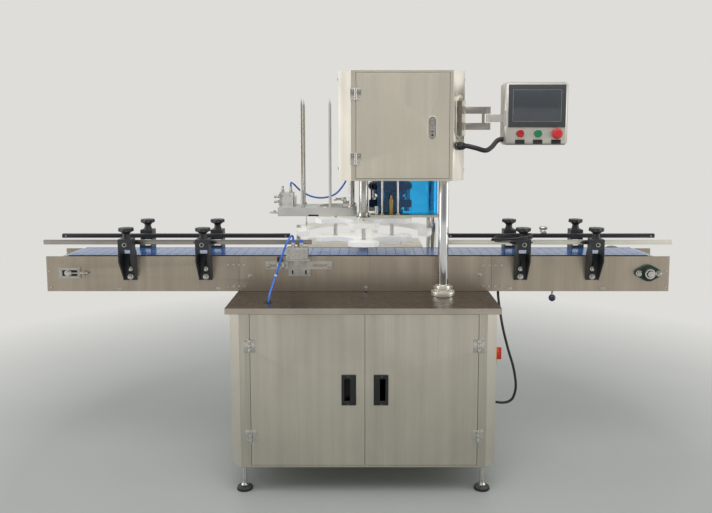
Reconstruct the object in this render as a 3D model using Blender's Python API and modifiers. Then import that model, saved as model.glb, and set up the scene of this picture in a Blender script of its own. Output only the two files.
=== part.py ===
"""Automatic can sealing machine: cabinet, slat conveyor, star wheel and seaming head.

Metres, +Z up. X runs along the conveyor, Y away from the operator, and the origin
is on the floor under the middle of the table.
"""
import math

import bmesh
import bpy
from mathutils import Matrix, Vector

COLLECTION_NAME = "can_sealing_machine"
GAP = 0.0003                 # clearance between pieces that touch
JOIN_DEPTH = 0.002           # how deep joined solids sink into each other
PULL_SLOT_SHIFT = 0.006
PULL_SLOT_HALF = (0.010, 0.042)
PULL_GRIP_SHIFT = 0.012
PULL_GRIP_HALF = (0.006, 0.048)
SWITCH_HANDLE_HALF = 0.006
TENSION_SHIFT = 0.009
TENSION_BOLT_END = 0.026
TENSION_BOLT_RADIUS = 0.006
TENSION_NUT = (0.012, 0.020)
TENSION_NUT_HALF = 0.010
BORE_MARGIN = 0.010
STOPPER_BAR_THICKNESS = 0.006
STOPPER_SLOT_START = 0.012
STOPPER_SLOT_HALF = 0.004
STOPPER_PLATE_OUT = 0.010
STOPPER_PLATE_THICKNESS = 0.005
STOPPER_SLOT_INSET = 0.018
STOPPER_SLOT_HALF_WIDTH = 0.003
STOPPER_SLOT_LIFT = (0.008, 0.024)
STOPPER_FITTING_SHIFT = 0.016
STOPPER_FITTING_Y = 0.022
RUNNING_GAP = 0.0010         # clearance round pieces that turn or slide
WELD = 0.000002
FLAT_ANGLE = 0.0005          # radians; faces closer than this are one plane

# Table and cabinet
TABLE_CENTRE_X = 0.022
TABLE_WIDTH = 1.000
TABLE_DEPTH = 0.800
TABLE_TOP_Z = 0.708
TABLE_LIP = 0.022
SHEET = 0.003
CABINET_SIDE_INSET = 0.008
CABINET_FRONT_INSET = 0.015
CABINET_CHAMFER = 0.040
CABINET_BOTTOM_Z = 0.105
DOOR_FRAME_LEFT = 0.078      # cabinet side to doorway
DOOR_FRAME_RIGHT = 0.071
DOORWAY_LEFT = TABLE_CENTRE_X - TABLE_WIDTH / 2 + CABINET_SIDE_INSET + DOOR_FRAME_LEFT
DOORWAY_RIGHT = TABLE_CENTRE_X + TABLE_WIDTH / 2 - CABINET_SIDE_INSET - DOOR_FRAME_RIGHT
DOORWAY_BOTTOM_Z = 0.112
DOORWAY_TOP_Z = 0.684
DOOR_SPLIT_X = 0.028
DOOR_GAP = 0.0015
DOOR_DEPTH = 0.018
FRAME_RETURN = 0.024
HINGE_HEIGHT = 0.049
HINGE_LEAF_WIDTH = 0.020
HINGE_LEAF = 0.002
HINGE_BARREL_RADIUS = 0.005
CABINET_HINGE_Z = (0.225, 0.565)
PULL_WIDTH = 0.054
PULL_HEIGHT = 0.115
PULL_Z = 0.400
PULL_FLANGE = 0.003
PULL_OFFSET = 0.059          # door split to pull centre
FOOT_RADIUS = 0.030
FOOT_PAD = 0.014
FOOT_STEM_RADIUS = 0.008
FOOT_INSET = 0.045
SWITCH_Y = 0.090 - TABLE_DEPTH / 2
SWITCH_Z = 0.515
SWITCH_RADIUS = 0.023
SWITCH_PLATE = 0.060
SWITCH_REACH = 0.022
HOSE_HOLE = (TABLE_CENTRE_X + 0.146 - TABLE_WIDTH / 2, 0.100 - TABLE_DEPTH / 2)
HOSE_HOLE_RADIUS = 0.014
CABLE_ENTRY_Y = 0.200 - TABLE_DEPTH / 2
CABLE_ENTRY_Z = 0.283
CABLE_ENTRY_RADIUS = 0.009
CABLE_ENTRY_REACH = 0.0124

# Conveyor
PANEL_OVERHANG = 0.085475    # shaft to the end of the side panels
CONVEYOR_FRONT_Y = -0.120
CONVEYOR_WIDTH = 0.198
PANEL_HEIGHT = 0.141
PANEL_FLANGE = 0.012
SLAT_PITCH = 0.0381
SLAT_THICKNESS = 0.0048
SPROCKET_TEETH = 11
CHAIN_LINKS = 132
BELT_TOP_Z = 0.853
BELT_SIDE_GAP = 0.00075
SLAT_SEAM = 0.0016
SLAT_SEAM_DEPTH = 0.0022
SHAFT_RADIUS = 0.0125
SPROCKET_WIDTH = 0.022
SPROCKET_PLACES = (-0.075, 0.033)
BED_DEPTH = 0.030
BED_HALF_LENGTH = 1.050
FLANGE_LENGTH = 0.107
FLANGE_HEIGHT = 0.066
FLANGE_THICKNESS = 0.012
FLANGE_BOSS_RADIUS = 0.026
FLANGE_BOSS_REACH = 0.024
TENSION_PLATE = (0.082, 0.045, 0.004)
GEARBOX_SIZE = 0.090
GEARBOX_DEPTH = 0.072
MOTOR_RADIUS = 0.043
MOTOR_LENGTH = 0.150
BALL_KNOB_X = 0.776
BALL_KNOB_RADIUS = 0.013
BALL_KNOB_DROP = 0.028

# Guide rails and their brackets
RAIL_Z = 0.905
RAIL_HEIGHT = 0.018
RAIL_STEEL = 0.008
RAIL_STRIP = 0.009
RAIL_END = 1.248
LANE_FRONT_Y = -0.097
LANE_BACK_Y = 0.055
RAIL_INNER_ENDS = {"front_left": -0.184, "front_right": 0.354,
                   "back_left": -0.288, "back_right": 0.370}
BRACKET_PLACES = (-0.903, -0.604, 0.645, 0.930)
BRACKET_WIDTH = 0.052
BRACKET_WALL = 0.005
BRACKET_REACH = 0.066
BRACKET_BOTTOM_Z = 0.755
BRACKET_WEB_TOP_Z = 0.866
BRACKET_BLOCK_Z = (0.885, 0.926)
BRACKET_BLOCK_INNER = 0.014
ROD_RADIUS = 0.005
ROD_PAST_BLOCK = 0.006
CLAMP_HALF_WIDTH = 0.049
CLAMP_THICKNESS = 0.008
KNOB_RADIUS = 0.030
KNOB_STEM_RADIUS = 0.013
KNOB_TOP_Z = 0.969

# Can stopper on the front panel
STOPPER_BAR_X = (-0.366, -0.103)
STOPPER_BAR_Z = (0.798, 0.829)
STOPPER_PLATE_X = (-0.277, -0.188)
STOPPER_PLATE_Z = (0.771, 0.846)
STOPPER_CYLINDER_Z = 0.870
STOPPER_CYLINDER_HEIGHT = 0.043
STOPPER_CYLINDER_Y = (-0.190, -0.130)
STOPPER_ROD_RADIUS = 0.005
STOPPER_PAD_RADIUS = 0.010

# Star wheel and can path
STAR_X = 0.022
STAR_Y = 0.100
STAR_RADIUS = 0.205
STAR_PITCH_RADIUS = 0.165
STAR_POCKETS = 4
CAN_RADIUS = 0.0765
CAN_CLEARANCE = 0.002
STAR_LOBE_HALF_ANGLE = 12.1
STAR_PLATE = 0.020
STAR_LOWER_Z = 0.882
STAR_UPPER_Z = 0.958
STAR_SHAFT_RADIUS = 0.019
STAR_HUB_RADIUS = 0.032
PILLAR_RADIUS = 0.007
PILLAR_PLACE_RADIUS = 0.120
TRANSFER_X = (-0.235, 0.275)
TRANSFER_BACK_Y = 0.350
TRANSFER_THICKNESS = 0.006
TRANSFER_LEG_RADIUS = 0.008
LIFT_RADIUS = 0.050
LIFT_RAM_RADIUS = 0.015
LIFT_THICKNESS = 0.014
GUIDE_OUTER_RADIUS = 0.290
GUIDE_Z = 0.914
GUIDE_THICKNESS = 0.020
GUIDE_START = -25.0
GUIDE_END = 205.0
GUIDE_POST_RADIUS = 0.009
GUIDE_POST_ANGLES = (-1.0, 90.0, 181.0)
GUIDE_POST_PLACE_RADIUS = 0.277

# Head box
HEAD_X = (-0.072, 0.403)
HEAD_Y = (-0.255, 0.370)
HEAD_Z = (1.158, 1.567)
HEAD_CHAMFER = 0.048
HEAD_FLOOR = 0.012
HEAD_DOORWAY_X = (-0.006, 0.343)
HEAD_DOOR_MARGIN_Z = 0.008
HEAD_HINGE_Z = (1.240, 1.479)
HEAD_HINGE_HEIGHT = 0.044
LATCH_X = 0.278
LATCH_Z = 1.3545
LATCH_WIDTH = 0.034
LATCH_HEIGHT = 0.091
LATCH_RIM = 0.004
LATCH_THICKNESS = 0.005
LATCH_PIVOT_RISE = 0.0150    # pivot above the recess's lower end
LATCH_PIN_RADIUS = 0.0015
COLUMN_X = 0.331
COLUMN_FRONT_Y = -0.185
COLUMN_BACK_Y = 0.300
COLUMN_RADIUS = 0.020
COLUMN_FLANGE_RADIUS = 0.046
COLUMN_FLANGE = 0.018
COLUMN_COLLAR_RADIUS = 0.030
COLUMN_COLLAR = 0.040

# Seaming head
SEAMER_X = STAR_X + STAR_PITCH_RADIUS * math.cos(math.radians(45))
SEAMER_Y = STAR_Y + STAR_PITCH_RADIUS * math.sin(math.radians(45))
SEAMER_DISC_RADIUS = 0.092
SEAMER_DISC_Z = (1.096, 1.114)
SEAMER_DRUM_RADIUS = 0.056
SEAMER_ARM_Z = (1.012, 1.042)
CHUCK_RADIUS = 0.057
CHUCK_Z = (0.986, 1.000)
SPINDLE_RADIUS = 0.018
SPINDLE_TOP_Z = 1.400
PULLEY_RADIUS = 0.060
PULLEY_Z = (1.330, 1.370)
ROLLER_RADIUS = 0.017
ROLLER_ORBIT = 0.0785
ROLLER_HEIGHT = 0.018
ROLLER_PIN_RADIUS = 0.004

# Lid magazine
MAGAZINE_X = (-0.347, -0.008)
MAGAZINE_HALF_WIDTH = 0.088
MAGAZINE_Z = (0.980, 1.016)
DROP_X = STAR_X - STAR_PITCH_RADIUS * math.cos(math.radians(45))
DROP_Y = STAR_Y + STAR_PITCH_RADIUS * math.sin(math.radians(45))
STACK_X = -0.185
STACK_ROD_SPACING = 0.120
STACK_ROD_RADIUS = 0.006
STACK_ROD_TOP_Z = 1.483
STACK_ROD_TIP = 0.030
STACK_FOOT_RADIUS = 0.0108
STACK_FOOT_HEIGHT = 0.010
STACK_INNER_X = -0.122
STACK_INNER_REACH = 0.0795
MAGAZINE_CORNER = 0.030
DROP_CLEARANCE = 0.001
PUSHER_FITTING_SHIFT = (0.018, 0.010)
PUSHER_FITTING_HEIGHT = (0.013, 0.028)
PUSHER_FITTING_RADIUS = (0.004, 0.007)
PUSHER_BORE_LENGTH = 0.040
PUSHER_ROD_RADIUS = 0.005
PUSHER_ROD_LENGTH = 0.038
PUSHER_PLATE_GAP = 0.003
WING_REACH = 0.045
WING_HALF_WIDTH = 0.020
WING_Z = (0.984, 0.989)
MAGAZINE_POST_X = -0.030
MAGAZINE_POST_SPACING = 0.150
MAGAZINE_POST_RADIUS = 0.011
PUSHER_CYLINDER = 0.060
PUSHER_PLATE = 0.008

# Guard and its shelf
GUARD_X = (0.079, 0.336)
GUARD_Y = 0.103
GUARD_THICKNESS = 0.005
SHELF_X = (0.050, 0.345)
SHELF_Y = (0.050, 0.118)
SHELF_Z = (0.984, 0.994)
HANGER_PLACES = (0.100, 0.166)
HANGER_RADIUS = 0.004
HANGER_Y = 0.075
PROBE_X = 0.138
PROBE_RADIUS = 0.007
PROBE_TOP_Z = 1.075
STUD_X = 0.076
STUD_RADIUS = 0.008
STUD_TOP_Z = 1.028

# Control box and its arm
ARM_STANDOFF = 0.021
ARM_LENGTH = 0.093
ARM_BAR_HEIGHT = 0.026
ARM_BAR_THICKNESS = 0.004
ARM_BAR_Z = (1.361, 1.4205)
ARM_BARREL_RADIUS = 0.008
ARM_PLATE = (0.048, 0.164, 0.004)
ARM_PLATE_Z = 1.396
LINK_HEIGHT = 0.030
CONTROL_X = (0.545, 0.778)
CONTROL_Y = (-0.266, -0.166)
CONTROL_Z = (1.292, 1.523)
CONTROL_EDGE = 0.009
SCREEN_X = (0.556, 0.768)
SCREEN_Z = (1.357, 1.514)
SCREEN_RAISE = 0.003
GLASS_MARGIN = 0.020
BUTTON_Z = 1.334
BUTTON_RED_X = 0.601
BUTTON_GREEN_X = 0.667
BUTTON_STOP_X = 0.735
BUTTON_RADIUS = 0.011
BUTTON_REACH = 0.008
BUTTON_DEPTH = 0.020
BEZEL_RADIUS = 0.015
BEZEL_RAISE = 0.003
STOP_RADIUS = 0.020
STOP_REACH = 0.026
GLAND_Z = 1.288
GLAND_RADIUS = 0.014
GLAND_REACH = 0.026

# Cords
CONTROL_CABLE_RADIUS = 0.009
HOSE_RADIUS = 0.004
MOTOR_CABLE_RADIUS = 0.005
SENSOR_COIL_RADIUS = 0.072
SENSOR_COIL_THICKNESS = 0.010
SENSOR_COIL_RAIL_RISE = 0.0046
CORD_RING_SPACING = 7        # rings along a cord, in cord radii

PANEL_BOTTOM_Z = TABLE_TOP_Z + GAP
PANEL_TOP_Z = PANEL_BOTTOM_Z + PANEL_HEIGHT
CONVEYOR_BACK_Y = CONVEYOR_FRONT_Y + CONVEYOR_WIDTH
PITCH_RADIUS = SLAT_PITCH / (2 * math.sin(math.pi / SPROCKET_TEETH))
SHAFT_Z = BELT_TOP_Z - SLAT_THICKNESS / 2 - PITCH_RADIUS
STRAIGHT_LINKS = (CHAIN_LINKS - SPROCKET_TEETH) / 2
SHAFT_X = STRAIGHT_LINKS * SLAT_PITCH / 2
CONVEYOR_HALF_LENGTH = SHAFT_X + PANEL_OVERHANG
BELT_FRONT_Y = CONVEYOR_FRONT_Y + SHEET + BELT_SIDE_GAP
BELT_BACK_Y = CONVEYOR_BACK_Y - SHEET - BELT_SIDE_GAP
CABINET_FRONT_Y = -TABLE_DEPTH / 2 + CABINET_FRONT_INSET
CABINET_LEFT = TABLE_CENTRE_X - TABLE_WIDTH / 2 + CABINET_SIDE_INSET
CABINET_RIGHT = TABLE_CENTRE_X + TABLE_WIDTH / 2 - CABINET_SIDE_INSET
CABINET_TOP_Z = TABLE_TOP_Z - SHEET - GAP
HEAD_FRONT_Y = HEAD_Y[0]
ARM_AXIS_A = (HEAD_X[1] - HEAD_CHAMFER / 2 + ARM_STANDOFF * math.sqrt(0.5),
              HEAD_FRONT_Y + HEAD_CHAMFER / 2 - ARM_STANDOFF * math.sqrt(0.5))
ARM_AXIS_B = (ARM_AXIS_A[0] + ARM_LENGTH, ARM_AXIS_A[1])
DOOR_AXIS_Y = CABINET_FRONT_Y - HINGE_BARREL_RADIUS - GAP
HEAD_DOOR_AXIS_Y = HEAD_FRONT_Y - HINGE_BARREL_RADIUS - GAP

STEEL = ((0.62, 0.60, 0.56), 1.0, 0.32)
DARK_STEEL = ((0.30, 0.27, 0.24), 1.0, 0.22)
BRIGHT_STEEL = ((0.78, 0.78, 0.77), 1.0, 0.12)
BLACK_PLASTIC = ((0.015, 0.016, 0.017), 0.0, 0.45)
BLUE_PLASTIC = ((0.02, 0.06, 0.30), 0.0, 0.25)
WHITE_PLASTIC = ((0.82, 0.83, 0.80), 0.0, 0.35)
BLUE_GUARD = ((0.00, 0.30, 0.80), 0.0, 0.10)
CREAM_PAINT = ((0.72, 0.70, 0.63), 0.0, 0.40)
RED_PLASTIC = ((0.65, 0.02, 0.02), 0.0, 0.30)
GREEN_PLASTIC = ((0.00, 0.25, 0.12), 0.0, 0.30)
HOSE_BLUE = ((0.01, 0.14, 0.55), 0.0, 0.30)
DARK_GREEN = ((0.02, 0.05, 0.04), 0.3, 0.40)


def clear_scene():
    """Remove every object of the starting scene."""
    for existing in list(bpy.data.objects):
        bpy.data.objects.remove(existing, do_unlink=True)


def model_collection():
    """Return the collection that holds the machine's pieces."""
    found = bpy.data.collections.get(COLLECTION_NAME)
    if found is None:
        found = bpy.data.collections.new(COLLECTION_NAME)
        bpy.context.scene.collection.children.link(found)
    return found


def add_object(name, data):
    """Link a new object with this data to the model's collection."""
    made = bpy.data.objects.new(name, data)
    model_collection().objects.link(made)
    return made


def bake(obj, turn_outward=False):
    """Turn an object with its modifiers into a welded mesh."""
    depsgraph = bpy.context.evaluated_depsgraph_get()
    mesh = bpy.data.meshes.new_from_object(obj.evaluated_get(depsgraph))
    work = bmesh.new()
    work.from_mesh(mesh)
    bmesh.ops.remove_doubles(work, verts=work.verts, dist=WELD)
    bmesh.ops.dissolve_degenerate(work, edges=work.edges, dist=WELD)
    if turn_outward:
        bmesh.ops.recalc_face_normals(work, faces=work.faces)
    work.to_mesh(mesh)
    work.free()
    made = add_object(obj.name + "_baked", mesh)
    made.matrix_world = obj.matrix_world.copy()
    name = obj.name
    bpy.data.objects.remove(obj, do_unlink=True)
    made.name = name
    return made


def box(x, y, z, name="box"):
    """A block between the given pairs of limits."""
    work = bmesh.new()
    bmesh.ops.create_cube(work, size=1.0)
    size = (x[1] - x[0], y[1] - y[0], z[1] - z[0])
    middle = ((x[0] + x[1]) / 2, (y[0] + y[1]) / 2, (z[0] + z[1]) / 2)
    bmesh.ops.scale(work, vec=size, verts=work.verts)
    bmesh.ops.translate(work, vec=middle, verts=work.verts)
    mesh = bpy.data.meshes.new(name)
    work.to_mesh(mesh)
    work.free()
    return add_object(name, mesh)


def rod(start, end, radius, sides=16, end_radius=None, name="rod"):
    """A cylinder or cone from start to end."""
    first = Vector(start)
    span = Vector(end) - first
    work = bmesh.new()
    bmesh.ops.create_cone(work, cap_ends=True, segments=sides, radius1=radius,
                          radius2=radius if end_radius is None else end_radius,
                          depth=span.length)
    turn = Vector((0, 0, 1)).rotation_difference(span).to_matrix().to_4x4()
    place = Matrix.Translation(first + span / 2) @ turn
    bmesh.ops.transform(work, matrix=place, verts=work.verts)
    mesh = bpy.data.meshes.new(name)
    work.to_mesh(mesh)
    work.free()
    return add_object(name, mesh)


def turned(profile, axis_point, sides=24, name="turned"):
    """Turn a profile of (radius, z) points, top to bottom, round a vertical axis."""
    mesh = bpy.data.meshes.new(name)
    points = [(radius, 0, z) for radius, z in profile]
    mesh.from_pydata(points, [(i, i + 1) for i in range(len(points) - 1)], [])
    made = add_object(name, mesh)
    screw = made.modifiers.new("turn", "SCREW")
    screw.axis = "Z"
    screw.steps = sides
    screw.render_steps = sides
    screw.use_merge_vertices = True
    screw.merge_threshold = 0.00001
    made = bake(made, turn_outward=True)
    made.data.transform(Matrix.Translation((axis_point[0], axis_point[1], 0)))
    return made


def slab(loops, low, high, plane="XY", name="slab"):
    """Extrude flat outlines (holes included) between two levels across a plane."""
    curve = bpy.data.curves.new(name, "CURVE")
    curve.dimensions = "2D"
    curve.fill_mode = "BOTH"
    curve.extrude = (high - low) / 2
    for loop in loops:
        spline = curve.splines.new("POLY")
        spline.points.add(len(loop) - 1)
        for point, place in zip(spline.points, loop):
            point.co = (place[0], place[1], 0, 1)
        spline.use_cyclic_u = True
    made = bake(add_object(name, curve), turn_outward=True)
    middle = (low + high) / 2
    turn = {"XY": Matrix.Identity(4),
            "XZ": Matrix(((1, 0, 0, 0), (0, 0, -1, 0), (0, 1, 0, 0), (0, 0, 0, 1))),
            "YZ": Matrix(((0, 0, 1, 0), (1, 0, 0, 0), (0, 1, 0, 0), (0, 0, 0, 1)))}[plane]
    shift = {"XY": (0, 0, middle), "XZ": (0, middle, 0), "YZ": (middle, 0, 0)}[plane]
    made.data.transform(Matrix.Translation(shift) @ turn)
    return made


def combine(target, tool, operation):
    """Apply one exact Boolean to target and remove the tool."""
    step = target.modifiers.new("combine", "BOOLEAN")
    step.object = tool
    step.operation = operation
    step.solver = "EXACT"
    result = bake(target)
    bpy.data.objects.remove(tool, do_unlink=True)
    return result


def join(target, *tools):
    """Unite target with each tool."""
    for tool in tools:
        target = combine(target, tool, "UNION")
    return target


def cut(target, *tools):
    """Cut each tool out of target."""
    for tool in tools:
        target = combine(target, tool, "DIFFERENCE")
    return target


def soften(obj, width, segments=1, angle=40.0):
    """Bevel the sharp edges of a finished form."""
    step = obj.modifiers.new("soften", "BEVEL")
    step.width = width
    step.segments = segments
    step.limit_method = "ANGLE"
    step.angle_limit = math.radians(angle)
    return bake(obj)


def simplify(obj):
    """Take out the vertices and edges that lie in one plane with their neighbours."""
    work = bmesh.new()
    work.from_mesh(obj.data)
    bmesh.ops.dissolve_limit(work, angle_limit=FLAT_ANGLE, verts=work.verts, edges=work.edges)
    bmesh.ops.triangulate(work, faces=work.faces)
    work.to_mesh(obj.data)
    work.free()


def finish(obj, name, look, smooth=True, origin=None):
    """Name a piece, give it its own material and set its origin."""
    colour, metallic, roughness = look
    simplify(obj)
    obj.name = name
    obj.data.name = name
    material = bpy.data.materials.new(name + "_finish")
    material.use_nodes = True
    shader = material.node_tree.nodes["Principled BSDF"]
    shader.inputs["Base Color"].default_value = (*colour, 1.0)
    shader.inputs["Metallic"].default_value = metallic
    shader.inputs["Roughness"].default_value = roughness
    obj.data.materials.clear()
    obj.data.materials.append(material)
    if smooth:
        obj.data.shade_smooth()
        obj.data.set_sharp_from_angle(angle=math.radians(35))
    if origin is not None:
        obj.data.transform(Matrix.Translation(-Vector(origin)))
        obj.location = origin
    return obj


def circle(centre, radius, count=24, start=0.0):
    """Points of a circle, anticlockwise."""
    return arc(centre, radius, start, start + 360.0 * (count - 1) / count, count)


def arc(centre, radius, start, end, count):
    """Points along an arc between two angles in degrees."""
    points = []
    for step in range(count):
        angle = math.radians(start + (end - start) * step / (count - 1))
        points.append((centre[0] + radius * math.cos(angle),
                       centre[1] + radius * math.sin(angle)))
    return points


def obround(centre, width, height, count=5):
    """Outline with round ends above and below."""
    radius = width / 2
    reach = height / 2 - radius
    top = arc((centre[0], centre[1] + reach), radius, 0, 180, count)
    bottom = arc((centre[0], centre[1] - reach), radius, 180, 360, count)
    return top + bottom


def chamfered(x, y, chamfer):
    """Rectangle with 45 degree corners."""
    return [(x[0] + chamfer, y[0]), (x[1] - chamfer, y[0]),
            (x[1], y[0] + chamfer), (x[1], y[1] - chamfer),
            (x[1] - chamfer, y[1]), (x[0] + chamfer, y[1]),
            (x[0], y[1] - chamfer), (x[0], y[0] + chamfer)]


def inset_limits(limits, amount):
    """Shrink a pair of limits at both ends."""
    return (limits[0] + amount, limits[1] - amount)


def shell(x, y, z, chamfer, wall, floor, roof):
    """Chamfered sheet housing with a floor and, where roof is set, a roof."""
    inner_chamfer = chamfer - wall * (2 - math.sqrt(2))
    outer = slab([chamfered(x, y, chamfer)], z[0], z[1])
    top = z[1] - roof if roof else z[1] + wall
    inner = slab([chamfered(inset_limits(x, wall), inset_limits(y, wall), inner_chamfer)],
                 z[0] + floor, top)
    return cut(outer, inner)


def door_frame(x, z, front_y, depth, wall):
    """Folded return that stiffens a doorway behind the front sheet."""
    ring = box(inset_limits(x, -wall), (front_y, front_y + depth), inset_limits(z, -wall))
    return ring


def hinge_half(axis_x, axis_y, z, height, leaf_side, upper, face_y):
    """One leaf with its half of the barrel; leaf_side is -1 or +1 along X."""
    middle = z
    low = (middle + GAP if upper else middle - height / 2)
    high = (middle + height / 2 if upper else middle - GAP)
    barrel = rod((axis_x, axis_y, low), (axis_x, axis_y, high), HINGE_BARREL_RADIUS, 8)
    reach = sorted((axis_x + leaf_side * 2 * DOOR_GAP, axis_x + leaf_side * HINGE_LEAF_WIDTH))
    leaf = box(reach, (face_y - HINGE_LEAF, face_y + SHEET / 2), (low, high))
    return join(barrel, leaf)


def build_cabinet():
    """Cabinet shell with its doorway frame, frame side hinge leaves and switch plate."""
    x = (CABINET_LEFT, CABINET_RIGHT)
    y = (CABINET_FRONT_Y, -CABINET_FRONT_Y)
    body = shell(x, y, (CABINET_BOTTOM_Z, CABINET_TOP_Z), CABINET_CHAMFER, SHEET, SHEET, 0)
    doorway_x = (DOORWAY_LEFT, DOORWAY_RIGHT)
    doorway_z = (DOORWAY_BOTTOM_Z, DOORWAY_TOP_Z)
    body = join(body, door_frame(doorway_x, doorway_z, CABINET_FRONT_Y + SHEET / 2,
                                 FRAME_RETURN, SHEET))
    body = cut(body, box(doorway_x, (CABINET_FRONT_Y - SHEET, CABINET_FRONT_Y + FRAME_RETURN + SHEET),
                         doorway_z))
    for z in CABINET_HINGE_Z:
        for axis_x, side in ((DOORWAY_LEFT, -1), (DOORWAY_RIGHT, 1)):
            body = join(body, hinge_half(axis_x, DOOR_AXIS_Y, z, HINGE_HEIGHT, side, True,
                                         CABINET_FRONT_Y))
    half = SWITCH_PLATE / 2
    body = join(body, box((CABINET_RIGHT - SHEET / 2, CABINET_RIGHT + SHEET),
                          (SWITCH_Y - half, SWITCH_Y + half), (SWITCH_Z - half, SWITCH_Z + half)))
    body = join(body, rod((CABINET_RIGHT - SHEET / 2, CABLE_ENTRY_Y, CABLE_ENTRY_Z),
                          (CABINET_RIGHT + CABLE_ENTRY_REACH, CABLE_ENTRY_Y, CABLE_ENTRY_Z),
                          CABLE_ENTRY_RADIUS, 8))
    finish(body, "cabinet_shell", STEEL)


def build_table_top():
    """Folded sheet top with its lip and the hole for the air hoses."""
    half = TABLE_WIDTH / 2
    x = (TABLE_CENTRE_X - half, TABLE_CENTRE_X + half)
    y = (-TABLE_DEPTH / 2, TABLE_DEPTH / 2)
    top = box(x, y, (TABLE_TOP_Z - TABLE_LIP, TABLE_TOP_Z))
    top = cut(top, box(inset_limits(x, SHEET), inset_limits(y, SHEET),
                       (TABLE_TOP_Z - TABLE_LIP - SHEET, TABLE_TOP_Z - SHEET)))
    top = cut(top, rod((*HOSE_HOLE, TABLE_TOP_Z - 2 * SHEET), (*HOSE_HOLE, TABLE_TOP_Z + SHEET),
                       HOSE_HOLE_RADIUS))
    finish(top, "table_top", DARK_STEEL, smooth=False)


def build_feet():
    """Four levelling feet under the cabinet's corners."""
    names = ("foot_front_left", "foot_front_right", "foot_back_left", "foot_back_right")
    places = [(x, y) for y in (CABINET_FRONT_Y + FOOT_INSET, -CABINET_FRONT_Y - FOOT_INSET)
              for x in (CABINET_LEFT + FOOT_INSET, CABINET_RIGHT - FOOT_INSET)]
    stem = FOOT_STEM_RADIUS
    top = CABINET_BOTTOM_Z - GAP
    profile = [(0, top), (stem * 2, top), (stem * 2, top - stem), (stem, top - stem),
               (stem, FOOT_PAD * 1.6), (stem * 1.8, FOOT_PAD), (FOOT_RADIUS * 0.85, FOOT_PAD),
               (FOOT_RADIUS, 0), (0, 0)]
    for name, place in zip(names, places):
        finish(turned(profile, place, 8), name, BRIGHT_STEEL)


def door_pan(x, z, front_y, pull_x=None):
    """Door sheet with edges folded back, open behind."""
    pan = box(x, (front_y, front_y + DOOR_DEPTH), z)
    pan = cut(pan, box(inset_limits(x, SHEET), (front_y + SHEET, front_y + DOOR_DEPTH + SHEET),
                       inset_limits(z, SHEET)))
    if pull_x is not None:
        half_x = PULL_WIDTH / 2 - PULL_FLANGE
        half_z = PULL_HEIGHT / 2 - PULL_FLANGE
        pan = cut(pan, box((pull_x - half_x, pull_x + half_x), (front_y - SHEET, front_y + 2 * SHEET),
                           (PULL_Z - half_z, PULL_Z + half_z)))
    return pan


def build_cabinet_doors():
    """Left and right doors with their hinge leaves."""
    z = inset_limits((DOORWAY_BOTTOM_Z, DOORWAY_TOP_Z), DOOR_GAP)
    spans = {"door_left": (DOORWAY_LEFT + DOOR_GAP, DOOR_SPLIT_X - DOOR_GAP / 2),
             "door_right": (DOOR_SPLIT_X + DOOR_GAP / 2, DOORWAY_RIGHT - DOOR_GAP)}
    for name, x in spans.items():
        left = name == "door_left"
        axis_x = DOORWAY_LEFT if left else DOORWAY_RIGHT
        pull_x = DOOR_SPLIT_X + (-PULL_OFFSET if left else PULL_OFFSET)
        door = door_pan(x, z, CABINET_FRONT_Y, pull_x)
        for hinge_z in CABINET_HINGE_Z:
            door = join(door, hinge_half(axis_x, DOOR_AXIS_Y, hinge_z, HINGE_HEIGHT,
                                         1 if left else -1, False, CABINET_FRONT_Y))
        finish(door, name, STEEL, origin=(axis_x, DOOR_AXIS_Y, 0))


def build_pulls():
    """Recessed pulls: a flange on the door, a tray through it and a finger slot."""
    for name, side in (("pull_left", -1), ("pull_right", 1)):
        x = DOOR_SPLIT_X + side * PULL_OFFSET
        outline = [(x - PULL_WIDTH / 2, PULL_Z - PULL_HEIGHT / 2),
                   (x + PULL_WIDTH / 2, PULL_Z - PULL_HEIGHT / 2),
                   (x + PULL_WIDTH / 2, PULL_Z + PULL_HEIGHT / 2),
                   (x - PULL_WIDTH / 2, PULL_Z + PULL_HEIGHT / 2)]
        face = CABINET_FRONT_Y - GAP
        body = slab([outline], face - PULL_FLANGE, face, "XZ")
        tray_x = PULL_WIDTH / 2 - PULL_FLANGE - GAP
        tray_z = PULL_HEIGHT / 2 - PULL_FLANGE - GAP
        body = join(body, box((x - tray_x, x + tray_x), (face - PULL_FLANGE / 2, face + DOOR_DEPTH),
                              (PULL_Z - tray_z, PULL_Z + tray_z)))
        slot_x = x + side * PULL_SLOT_SHIFT
        body = cut(body, box((slot_x - PULL_SLOT_HALF[0], slot_x + PULL_SLOT_HALF[0]),
                             (face - 2 * PULL_FLANGE, face + DOOR_DEPTH - PULL_FLANGE),
                             (PULL_Z - PULL_SLOT_HALF[1], PULL_Z + PULL_SLOT_HALF[1])))
        grip_x = x - side * PULL_GRIP_SHIFT
        body = join(body, box((grip_x - PULL_GRIP_HALF[0], grip_x + PULL_GRIP_HALF[0]),
                              (face - 2 * PULL_FLANGE, face - PULL_FLANGE / 2),
                              (PULL_Z - PULL_GRIP_HALF[1], PULL_Z + PULL_GRIP_HALF[1])))
        finish(body, name, BLACK_PLASTIC)


def build_switch():
    """Rotary main switch handle on the cabinet's right side."""
    face = CABINET_RIGHT + SHEET + GAP
    handle = rod((face, SWITCH_Y, SWITCH_Z), (face + SWITCH_REACH / 2, SWITCH_Y, SWITCH_Z),
                 SWITCH_RADIUS, 14)
    handle = join(handle, box((face, face + SWITCH_REACH),
                              (SWITCH_Y - SWITCH_HANDLE_HALF, SWITCH_Y + SWITCH_HANDLE_HALF),
                              (SWITCH_Z - SWITCH_RADIUS, SWITCH_Z + SWITCH_RADIUS)))
    finish(handle, "main_switch", RED_PLASTIC, origin=(face, SWITCH_Y, SWITCH_Z))


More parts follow.
